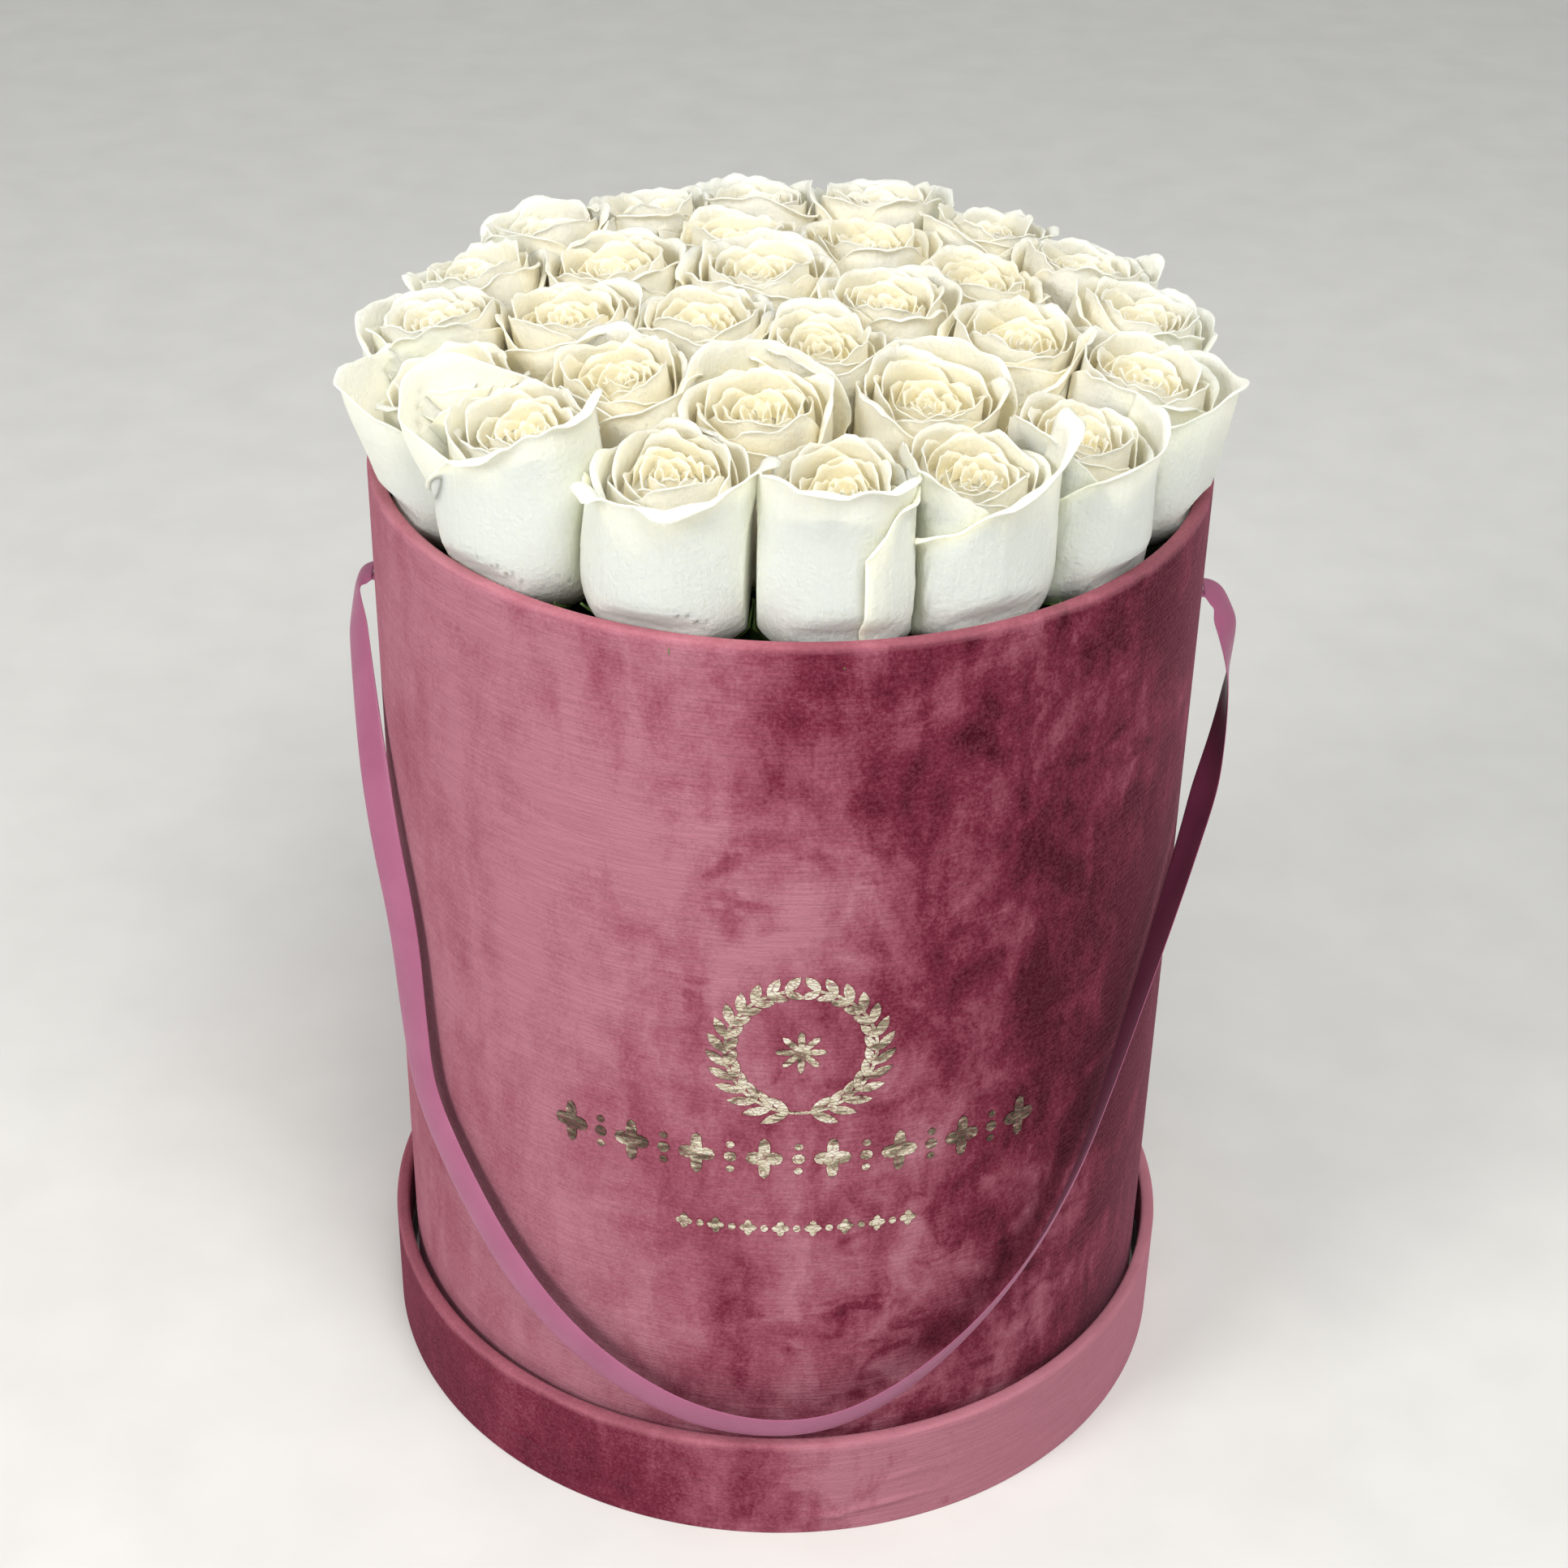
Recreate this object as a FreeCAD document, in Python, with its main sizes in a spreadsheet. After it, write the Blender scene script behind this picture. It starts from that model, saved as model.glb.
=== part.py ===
"""Round velvet flower box standing in its own upturned lid, filled with 29 long-stemmed roses.

Frame: +Z up, origin at the centre of the underside of the lid, which is used as a tray.
The front of the box, which carries the foil ornament, faces -Y. Bearings are measured in
degrees from the front, positive towards +X.
"""
import FreeCAD
import Part
import Sketcher

import math
import os

from FreeCAD import Vector

doc = FreeCAD.newDocument("FlowerBox")

# ---------------------------------------------------------------- driving dimensions (mm, deg)
DIMENSIONS = (
    ("box_radius", 100.0, "outside of the velvet on the wall"),
    ("rim_height", 254.9, "top of the box wall above the table"),
    ("velvet", 0.8, "velvet skin with its backing"),
    ("board", 2.2, "greyboard of wall, base and lid"),
    ("lining", 0.5, "paper lining, and the velvet where it is turned in"),
    ("turn_in", 15.0, "velvet turned over the rim and under the base"),
    ("rim_round", 1.2, "rounding of the velvet over a cut board edge"),
    ("tray_radius", 105.3, "outside of the velvet on the lid"),
    ("tray_height", 30.4, "depth of the lid"),
    ("rest_gap", 0.1, "nap between the box and the lid it stands in"),
    ("ribbon_width", 10.0, "satin ribbon"),
    ("ribbon_thick", 0.8, "satin ribbon, two layers"),
    ("slot_height", 218.0, "ribbon slots above the table"),
    ("slot_gap", 2.4, "opening of a slot"),
    ("slot_length", 12.0, "length of a slot round the wall"),
    ("knot_radius", 4.5, "ribbon knot behind the wall: half its size towards the axis"),
    ("knot_thick", 3.6, "half of the knot's height"),
    ("knot_wide", 6.75, "half of the knot's size round the wall"),
    ("knot_gap", 1.0, "knot to the lining of the wall"),
    ("ribbon_joint", 0.3, "split between the fixed ribbon ends and the loop that swings"),
    ("pot_radius", 93.5, "plastic liner pot"),
    ("pot_wall", 1.2, "wall of the liner pot"),
    ("pot_lip", 2.0, "how far the pot's lip stands out"),
    ("pot_lip_depth", 3.0, "depth of the lip"),
    ("pot_top", 200.0, "rim of the liner pot above the table"),
    ("foam_gap", 0.5, "play of the foam in the pot"),
    ("foam_top", 194.0, "top of the foam above the table"),
    ("stem_radius", 2.6, "rose stem"),
    ("stem_end", 158.0, "level the stems are pushed down to"),
    ("binding_height", -180.0, "point on the axis that every stem points at"),
    ("bud_radius", 13.7, "widest radius of a bud"),
    ("bud_half", 38.0, "half axis of the bud's barrel curve"),
    ("bud_below", 34.0, "centre of the barrel curve to the calyx"),
    ("bud_length", 48.0, "calyx to the top of the bud"),
    ("hip_length", 7.0, "rose hip under a bud"),
    ("hip_radius", 5.4, "top of a rose hip"),
    ("foil_thick", 0.2, "hot foil on the velvet"),
    ("emblem_height", 149.5, "centre of the foil wreath above the table"),
    ("emblem_bearing", 3.0, "middle of the foil ornament from the front"),
    ("emblem_radius", 24.5, "outer radius of the foil wreath"),
    ("emblem_band", 8.0, "width of the wreath"),
    ("border_height", 118.3, "middle of the foil border below the wreath"),
    ("border_band", 10.0, "width of the border"),
    ("border_angle", 70.0, "reach of the border round the wall"),
    ("tail_height", 97.0, "middle of the small foil line below the border"),
    ("tail_band", 4.5, "width of that line"),
    ("tail_angle", 33.0, "reach of that line round the wall"),
    ("tool_margin", 10.0, "how far cutting shapes reach past what they cut"),
)

sheet = doc.addObject("Spreadsheet::Sheet", "Sizes")
for row, (alias, size, note) in enumerate(DIMENSIONS, start=1):
    sheet.set(f"A{row}", alias)
    sheet.set(f"B{row}", str(size))
    sheet.set(f"C{row}", note)
    sheet.setAlias(f"B{row}", alias)
doc.recompute()

# Levels and radii that several pieces share, worked out in the sheet from the cells above.
DERIVED = (
    ("tray_floor", "=velvet + board + lining"),
    ("box_bottom", "=tray_floor + rest_gap"),
    ("base_top", "=box_bottom + velvet + board + lining"),
    ("board_outer", "=box_radius - velvet"),
    ("board_inner", "=board_outer - board"),
    ("bore_radius", "=board_inner - lining"),
    ("tray_board_outer", "=tray_radius - velvet"),
    ("tray_board_inner", "=tray_board_outer - board"),
    ("tray_bore", "=tray_board_inner - lining"),
)
for row, (alias, formula) in enumerate(DERIVED, start=len(DIMENSIONS) + 2):
    sheet.set(f"A{row}", alias)
    sheet.set(f"B{row}", formula)
    sheet.setAlias(f"B{row}", alias)
    doc.recompute()

# Rings of roses: count, radius of the bud tops, their height above the rim, bearing of the
# first rose, and by how many degrees each rose strays from even spacing.
ROSE_RINGS = (
    (16, 81.4, 31.0, -40.0, (-4, 0, 2, 0, 0, 1, 3, 4, 4, 3, 2, 0, -2, -4, -4, -5)),
    (9, 51.5, 33.0, -8.0, (0, 3, 6, 10, 8, 4, 6, 3, 1)),
    (4, 22.0, 36.0, 20.0, (-2, -6, 2, 4)),
)

# Middle line of the ribbon handle from the left slot round the front to the right slot:
# bearing (deg), radius and height (mm).
RIBBON_ROUTE = (
    (-90.0, 101.3, 218.0),
    (-90.0, 104.8, 216.8),
    (-88.5, 105.8, 211.0),
    (-83.0, 104.6, 201.0),
    (-74.0, 104.3, 187.0),
    (-67.0, 104.8, 168.0),
    (-61.5, 104.3, 146.0),
    (-60.0, 104.3, 122.0),
    (-58.0, 104.3, 101.0),
    (-49.0, 104.6, 86.0),
    (-39.0, 105.0, 68.0),
    (-28.0, 105.6, 53.0),
    (-16.0, 106.0, 42.5),
    (-5.0, 106.2, 37.4),
    (6.0, 106.2, 37.2),
    (16.0, 106.0, 44.5),
    (27.0, 105.6, 58.5),
    (37.0, 105.0, 75.0),
    (45.0, 104.6, 95.0),
    (51.0, 104.4, 117.0),
    (57.5, 104.4, 139.0),
    (66.0, 104.8, 160.0),
    (76.0, 106.8, 180.0),
    (84.0, 108.6, 198.0),
    (88.5, 107.6, 211.0),
    (90.0, 105.0, 216.8),
    (90.0, 101.3, 218.0),
)

nodes = []


def size(alias):
    """Number in one cell of the sheet."""
    return float(sheet.get(alias))


def node(feature, label):
    """Keep a finished sub-part under its node name."""
    feature.Label = label
    nodes.append(feature)
    return feature


def bind(feature, **expressions):
    """Bind properties of a feature to expressions of the sheet's cells."""
    for name, expression in expressions.items():
        feature.setExpression(name, expression)
    return feature


def cells(expression):
    """Spell out the sheet's name before each alias used in an expression."""
    words = expression.split(" ")
    aliases = [alias for alias, *_ in DIMENSIONS + DERIVED]
    return " ".join(f"Sizes.{word}" if word in aliases else word for word in words)


def cylinder(radius, bottom, top):
    """Upright cylinder about Z between two levels, each given as an expression."""
    feature = doc.addObject("Part::Cylinder", "Cylinder")
    bind(
        feature,
        Radius=cells(radius),
        Height=cells(f"( {top} ) - ( {bottom} )"),
    )
    feature.setExpression("Placement.Base.z", cells(bottom))
    return feature


def cut(base, *tools):
    """Base less each tool in turn."""
    for tool in tools:
        result = doc.addObject("Part::Cut", "Cut")
        result.Base = base
        result.Tool = tool
        base = result
    return base


def fuse(*shapes):
    """Several overlapping shapes as one."""
    result = doc.addObject("Part::MultiFuse", "Fusion")
    result.Shapes = list(shapes)
    result.Refine = True
    return result


def group(parts):
    """Separate solids in one compound."""
    result = doc.addObject("Part::Compound", "Group")
    result.Links = list(parts)
    return result


def revolved(label, profile):
    """PartDesign body turned about Z from a closed outline of (radius, height) expressions."""
    body = doc.addObject("PartDesign::Body", label)
    plane = next(f for f in body.Origin.OriginFeatures if f.Role == "XZ_Plane")
    sketch = body.newObject("Sketcher::SketchObject", f"{label}_profile")
    sketch.AttachmentSupport = [(plane, "")]
    sketch.MapMode = "FlatFace"
    points = [
        Vector(sheet.evalExpression(r), sheet.evalExpression(z), 0) for r, z in profile
    ]
    count = len(points)
    for i, point in enumerate(points):
        sketch.addGeometry(Part.LineSegment(point, points[(i + 1) % count]), False)
    for i in range(count):
        sketch.addConstraint(Sketcher.Constraint("Coincident", i, 2, (i + 1) % count, 1))
    for i, (radius, height) in enumerate(profile):
        for kind, expression, value in (
            ("DistanceX", radius, points[i].x),
            ("DistanceY", height, points[i].y),
        ):
            if abs(value) < 1e-9:
                axis = -2 if kind == "DistanceX" else -1
                sketch.addConstraint(Sketcher.Constraint("PointOnObject", i, 1, axis))
            else:
                which = sketch.addConstraint(
                    Sketcher.Constraint(kind, -1, 1, i, 1, value)
                )
                sketch.setExpression(f"Constraints[{which}]", cells(expression))
    turn = body.newObject("PartDesign::Revolution", f"{label}_turn")
    turn.Profile = sketch
    turn.ReferenceAxis = (sketch, ["V_Axis"])
    turn.Angle = 360.0
    sketch.Visibility = False
    doc.recompute()
    return body


def round_edge(body, radius_alias, *circles):
    """Fillet the round edges of a turned body that lie at the given (radius, level)."""
    names = []
    for i, edge in enumerate(body.Shape.Edges, start=1):
        curve = edge.Curve
        if not isinstance(curve, Part.Circle):
            continue
        for radius, level in circles:
            if abs(curve.Radius - radius) < 1e-3 and abs(curve.Center.z - level) < 1e-3:
                names.append(f"Edge{i}")
    turned = body.Tip
    fillet = body.newObject("PartDesign::Fillet", f"{body.Name}_round")
    fillet.Base = (turned, names)
    fillet.setExpression("Radius", f"Sizes.{radius_alias}")
    body.Tip = fillet
    doc.recompute()
    return body


# ---------------------------------------------------------------- lid, used upside down as a tray


def lid():
    """Greyboard disc and rim, covered with a velvet disc and band and lined with paper."""
    node(cylinder("tray_board_inner", "velvet", "velvet + board"), "lid_top_board")
    node(
        revolved(
            "lid_rim_board",
            (
                ("tray_board_inner", "velvet"),
                ("tray_board_outer", "velvet"),
                ("tray_board_outer", "tray_height - velvet"),
                ("tray_board_inner", "tray_height - velvet"),
            ),
        ),
        "lid_rim_board",
    )
    node(cylinder("tray_board_outer", "0", "velvet"), "lid_top_velvet")
    band = revolved(
        "lid_rim_velvet",
        (
            ("tray_board_outer", "0"),
            ("tray_radius", "0"),
            ("tray_radius", "tray_height"),
            ("tray_bore", "tray_height"),
            ("tray_bore", "tray_height - turn_in"),
            ("tray_board_inner", "tray_height - turn_in"),
            ("tray_board_inner", "tray_height - velvet"),
            ("tray_board_outer", "tray_height - velvet"),
        ),
    )
    round_edge(band, "rim_round", (size("tray_radius"), size("tray_height")))
    node(band, "lid_rim_velvet")
    node(
        revolved(
            "lid_lining",
            (
                ("0", "velvet + board"),
                ("tray_board_inner", "velvet + board"),
                ("tray_board_inner", "tray_height - turn_in"),
                ("tray_bore", "tray_height - turn_in"),
                ("tray_bore", "tray_floor"),
                ("0", "tray_floor"),
            ),
        ),
        "lid_lining",
    )


# ---------------------------------------------------------------- box


def slots():
    """One bar through both ribbon slots of the wall."""
    bar = doc.addObject("Part::Box", "Slots")
    bind(
        bar,
        Length="2 * Sizes.box_radius + 2 * Sizes.tool_margin",
        Width="Sizes.slot_length",
        Height="Sizes.slot_gap",
    )
    bar.setExpression("Placement.Base.x", "-Sizes.box_radius - Sizes.tool_margin")
    bar.setExpression("Placement.Base.y", "-Sizes.slot_length / 2")
    bar.setExpression("Placement.Base.z", "Sizes.slot_height - Sizes.slot_gap / 2")
    return bar


def box():
    """Greyboard tube and base with velvet outside, paper inside and two ribbon slots."""
    wall = revolved(
        "wall_board_tube",
        (
            ("board_inner", "box_bottom + velvet"),
            ("board_outer", "box_bottom + velvet"),
            ("board_outer", "rim_height - velvet"),
            ("board_inner", "rim_height - velvet"),
        ),
    )
    node(cut(wall, slots()), "wall_board")
    node(
        cylinder("board_inner", "box_bottom + velvet", "box_bottom + velvet + board"),
        "base_board",
    )
    skin = revolved(
        "wall_velvet_skin",
        (
            ("box_radius - turn_in", "box_bottom"),
            ("box_radius", "box_bottom"),
            ("box_radius", "rim_height"),
            ("bore_radius", "rim_height"),
            ("bore_radius", "rim_height - turn_in"),
            ("board_inner", "rim_height - turn_in"),
            ("board_inner", "rim_height - velvet"),
            ("board_outer", "rim_height - velvet"),
            ("board_outer", "box_bottom + velvet"),
            ("box_radius - turn_in", "box_bottom + velvet"),
        ),
    )
    round_edge(
        skin,
        "rim_round",
        (size("box_radius"), size("rim_height")),
        (size("box_radius"), size("box_bottom")),
    )
    node(cut(skin, slots()), "wall_velvet")
    node(cylinder("box_radius - turn_in", "box_bottom", "box_bottom + velvet"), "base_paper")
    paper = revolved(
        "inner_lining_cup",
        (
            ("0", "box_bottom + velvet + board"),
            ("board_inner", "box_bottom + velvet + board"),
            ("board_inner", "rim_height - turn_in"),
            ("bore_radius", "rim_height - turn_in"),
            ("bore_radius", "base_top"),
            ("0", "base_top"),
        ),
    )
    node(cut(paper, slots()), "inner_lining")


def pot_and_foam(stems):
    """Plastic liner pot and the block of floral foam in it, pierced by the stems."""
    node(
        revolved(
            "liner_pot",
            (
                ("0", "base_top"),
                ("pot_radius", "base_top"),
                ("pot_radius", "pot_top - pot_lip_depth"),
                ("pot_radius + pot_lip", "pot_top - pot_lip_depth"),
                ("pot_radius + pot_lip", "pot_top"),
                ("pot_radius - pot_wall", "pot_top"),
                ("pot_radius - pot_wall", "base_top + pot_wall"),
                ("0", "base_top + pot_wall"),
            ),
        ),
        "liner_pot",
    )
    block = cylinder("pot_radius - pot_wall - foam_gap", "base_top + pot_wall", "foam_top")
    node(cut(block, group(stems)), "floral_foam")


# ---------------------------------------------------------------- roses


def rose_places():
    """(top of the bud, direction up the stem) of every rose, ring by ring."""
    binding = Vector(0, 0, size("binding_height"))
    for count, radius, above_rim, first, strays in ROSE_RINGS:
        for i in range(count):
            bearing = math.radians(first + 360.0 / count * i + strays[i])
            top = Vector(
                radius * math.sin(bearing),
                -radius * math.cos(bearing),
                size("rim_height") + above_rim,
            )
            yield top, (top - binding).normalize()


def along(feature, place, direction):
    """Stand a feature made along +Z at a place, pointing in a direction."""
    turn = FreeCAD.Rotation(Vector(0, 0, 1), direction)
    feature.Placement = FreeCAD.Placement(place, turn)
    return feature


def bud(top, direction):
    """Barrel of closed petals: an ellipsoid cut flat at the calyx and at its open top."""
    barrel = doc.addObject("Part::Ellipsoid", "Bud")
    bind(
        barrel,
        Radius1="Sizes.bud_half",
        Radius2="Sizes.bud_radius",
        Radius3="Sizes.bud_radius",
        Angle1="-asin(Sizes.bud_below / Sizes.bud_half)",
        Angle2="asin((Sizes.bud_length - Sizes.bud_below) / Sizes.bud_half)",
    )
    below_top = size("bud_length") - size("bud_below")
    return along(barrel, top - direction * below_top, direction)


def hip(top, direction):
    """Rose hip under the bud."""
    cone = doc.addObject("Part::Cone", "Hip")
    bind(
        cone,
        Radius1="Sizes.stem_radius",
        Radius2="Sizes.hip_radius",
        Height="Sizes.hip_length",
    )
    reach = size("bud_length") + size("hip_length")
    return along(cone, top - direction * reach, direction)


def stem(top, direction):
    """Stem from the hip down into the foam."""
    rod = doc.addObject("Part::Cylinder", "Stem")
    bind(rod, Radius="Sizes.stem_radius")
    foot = top - direction * ((top.z - size("stem_end")) / direction.z)
    rod.Height = (top - foot).Length - size("bud_length") - size("hip_length")
    return along(rod, foot, direction)


def roses():
    """All the roses; returns the stems, which the foam is cut by."""
    places = list(rose_places())
    stems = [stem(*place) for place in places]
    node(group(stems), "rose_stems")
    node(group([hip(*place) for place in places]), "rose_hips")
    for number, place in enumerate(places, start=1):
        node(bud(*place), f"rose_bloom_{number:02d}")
    return stems


# ---------------------------------------------------------------- ribbon handle


def at_bearing(bearing, radius, height):
    """Point at a bearing from the front."""
    turn = math.radians(bearing)
    return Vector(radius * math.sin(turn), -radius * math.cos(turn), height)


def ribbon_end(label, side):
    """Fixed end of the ribbon: a strip through the slot, knotted behind the wall."""
    strip = doc.addObject("Part::Box", "Strip")
    bind(strip, Width="Sizes.ribbon_width", Height="Sizes.ribbon_thick")
    inner = size("bore_radius") - size("knot_radius") - size("knot_gap")
    outer = RIBBON_ROUTE[0][1] - size("ribbon_joint")
    strip.Length = outer - inner
    strip.Placement.Base = Vector(
        min(side * inner, side * outer),
        -size("ribbon_width") / 2,
        size("slot_height") - size("ribbon_thick") / 2,
    )
    knot = doc.addObject("Part::Ellipsoid", "Knot")
    bind(
        knot,
        Radius1="Sizes.knot_thick",
        Radius2="Sizes.knot_wide",
        Radius3="Sizes.knot_radius",
    )
    knot.Placement = FreeCAD.Placement(
        Vector(side * inner, 0, size("slot_height")),
        FreeCAD.Rotation(Vector(0, 0, 1), 90),
    )
    node(fuse(strip, knot), label)


def ribbon_handle():
    """Loop of ribbon lying round the front of the box, as flat runs between the route's points."""
    route = [at_bearing(*place) for place in RIBBON_ROUTE]
    half_width = size("ribbon_width") / 2
    half_thick = size("ribbon_thick") / 2
    sections = []
    for i, point in enumerate(route):
        ahead = (route[min(i + 1, len(route) - 1)] - route[max(i - 1, 0)]).normalize()
        outward = Vector(point.x, point.y, 0).normalize()
        if i in (0, len(route) - 1):
            outward = Vector(0, 0, 1)
        across = ahead.cross(outward).normalize()
        if across.y > 0:
            across = -across
        face = across.cross(ahead).normalize()
        corners = [
            point + across * (u * half_width) + face * (v * half_thick)
            for u, v in ((-1, -1), (1, -1), (1, 1), (-1, 1))
        ]
        sections.append(Part.makePolygon(corners + corners[:1]))
    loop = doc.addObject("Part::Feature", "RibbonLoop")
    loop.Shape = Part.makeLoft(sections, True, True)
    length = sum((b - a).Length for a, b in zip(route, route[1:]))
    print(
        f"ribbon: runs add up to {length:.1f} mm, volume {loop.Shape.Volume:.0f} mm3, "
        f"section times length {4 * half_width * half_thick * length:.0f} mm3"
    )
    node(loop, "ribbon_handle")


# ---------------------------------------------------------------- foil ornament


def foil_shell(bottom, top, angle):
    """Thin shell on the velvet between two levels, over an angle about the emblem's bearing."""
    outside = cylinder("box_radius + foil_thick", bottom, top)
    outside.setExpression("Angle", cells(angle))
    outside.setExpression("Placement.Rotation.Angle", cells(f"emblem_bearing - 90 - {angle} / 2"))
    return cut(outside, cylinder("box_radius", bottom, top))


def wreath():
    """Foil ring, cut from a shell by a flat ring that stands across the front."""
    rings = []
    for radius in ("emblem_radius", "emblem_radius - emblem_band"):
        disc = doc.addObject("Part::Cylinder", "Disc")
        bind(disc, Radius=cells(radius), Height="Sizes.box_radius + Sizes.tool_margin")
        disc.Placement = FreeCAD.Placement(
            Vector(0, 0, size("emblem_height")), FreeCAD.Rotation(Vector(1, 0, 0), 90)
        )
        rings.append(disc)
    ring = doc.addObject("Part::Common", "Wreath")
    ring.Base = foil_shell(
        "emblem_height - emblem_radius", "emblem_height + emblem_radius", "border_angle"
    )
    ring.Tool = cut(*rings)
    ring.setExpression("Placement.Rotation.Angle", "Sizes.emblem_bearing")
    return ring


def foil_ornament():
    """Wreath with a broad border and a short narrow one under it, in hot foil on the front."""
    border = foil_shell(
        "border_height - border_band / 2", "border_height + border_band / 2", "border_angle"
    )
    tail = foil_shell("tail_height - tail_band / 2", "tail_height + tail_band / 2", "tail_angle")
    node(group([wreath(), border, tail]), "foil_ornament")


# ---------------------------------------------------------------- build and write

lid()
box()
pot_and_foam(roses())
foil_ornament()
ribbon_end("ribbon_end_left", -1)
ribbon_end("ribbon_end_right", 1)
ribbon_handle()
doc.recompute()

for feature in doc.Objects:
    if "Invalid" in feature.State or "Error" in feature.State:
        raise RuntimeError(f"{feature.Name} ({feature.Label}) failed: {feature.State}")

os.makedirs("parts", exist_ok=True)
for feature in nodes:
    shape = feature.Shape
    if shape.isNull() or not shape.isValid() or not shape.Solids:
        raise RuntimeError(f"{feature.Label} has no valid solid")
    shape.exportStep(os.path.join("parts", f"{feature.Label}.step"))
    print(f"{feature.Label}: {len(shape.Solids)} solid(s), {shape.Volume / 1000:.2f} cm3")
print(f"{len(nodes)} nodes")
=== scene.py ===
"""Looks of the round velvet flower box: 29 white roses, velvet box and lid, satin ribbon, hot foil.

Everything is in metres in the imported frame: +Z up, the front of the box faces -Y.
Bearings are measured from the front, positive towards +X.
"""
import math

import bpy
import numpy as np
from mathutils import Matrix, Vector


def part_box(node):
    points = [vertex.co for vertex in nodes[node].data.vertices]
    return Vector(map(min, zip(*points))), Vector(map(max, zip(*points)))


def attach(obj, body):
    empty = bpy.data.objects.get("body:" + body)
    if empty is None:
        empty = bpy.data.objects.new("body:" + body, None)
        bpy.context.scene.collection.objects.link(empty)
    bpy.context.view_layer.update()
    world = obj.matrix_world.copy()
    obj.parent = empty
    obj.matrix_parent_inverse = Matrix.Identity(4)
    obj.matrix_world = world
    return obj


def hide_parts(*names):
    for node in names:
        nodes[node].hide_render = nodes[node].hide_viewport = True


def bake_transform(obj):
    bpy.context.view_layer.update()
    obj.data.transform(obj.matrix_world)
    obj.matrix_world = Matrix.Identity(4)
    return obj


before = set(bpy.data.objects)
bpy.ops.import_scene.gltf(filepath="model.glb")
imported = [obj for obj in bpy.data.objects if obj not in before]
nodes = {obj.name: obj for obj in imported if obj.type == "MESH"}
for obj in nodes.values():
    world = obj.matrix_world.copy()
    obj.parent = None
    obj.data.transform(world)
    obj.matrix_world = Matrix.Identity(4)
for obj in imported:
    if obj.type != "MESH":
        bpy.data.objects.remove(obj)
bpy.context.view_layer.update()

MM = 0.001
BOX_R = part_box("wall_velvet")[1].x
BOX_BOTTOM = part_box("wall_velvet")[0].z
RIM_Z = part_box("wall_velvet")[1].z
TRAY_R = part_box("lid_rim_velvet")[1].x
TRAY_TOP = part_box("lid_rim_velvet")[1].z
ROSE_COUNT = 29
BINDING = Vector((0, 0, -180 * MM))  # the point where all the roses' axes would meet


# ---- helpers


def mesh_piece(name, points, faces, material, body="box", smooth=True):
    """New mesh object from points and faces, riding on a body."""
    mesh = bpy.data.meshes.new(name)
    mesh.from_pydata([tuple(p) for p in points], [], [tuple(f) for f in faces])
    mesh.validate()
    mesh.polygons.foreach_set("use_smooth", [smooth] * len(mesh.polygons))
    mesh.materials.append(material)
    piece = bpy.data.objects.new(name, mesh)
    bpy.context.scene.collection.objects.link(piece)
    if body:
        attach(piece, body)
    return piece


def grid_faces(rows, columns, closed=False):
    """Quads of a grid of points stored row by row; closed joins the last column to the first."""
    faces = []
    for i in range(rows - 1):
        for j in range(columns if closed else columns - 1):
            k = (j + 1) % columns
            a, b = i * columns, (i + 1) * columns
            faces.append((a + j, a + k, b + k, b + j))
    return faces


def merged(parts):
    """Points and faces of several meshes as those of one."""
    points, faces, count = [], [], 0
    for made, skin in parts:
        points.append(made)
        faces += [tuple(int(i) + count for i in face) for face in skin]
        count += len(made)
    return np.concatenate(points), faces


def around(angle, radius, height):
    """Points at bearings (radians) from the front, radii and heights, in an array's last axis."""
    return np.stack([radius * np.sin(angle), -radius * np.cos(angle), height], -1)


def unit(rows):
    """Each row of an array of vectors made one long."""
    return rows / np.linalg.norm(rows, axis=1, keepdims=True)


def square_to(rows, line):
    """Vectors with their parts along a line's unit directions taken away."""
    return rows - line * np.einsum("ij,ij->i", rows, line)[:, None]


def smooth_step(x, low=0.0, high=1.0):
    """0 below low, 1 above high, smooth between."""
    t = np.clip((np.asarray(x, float) - low) / (high - low), 0, 1)
    return t * t * (3 - 2 * t)


def wave(x, rng, low=1.0, high=4.0):
    """Smooth irregular wave between -1 and 1 along x: three sines of rates from low to high."""
    total = np.zeros_like(np.asarray(x, float))
    for _ in range(3):
        total += np.sin(rng.uniform(low, high) * x + rng.uniform(0, 2 * math.pi))
    return total / 3


# ---- materials


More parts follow.
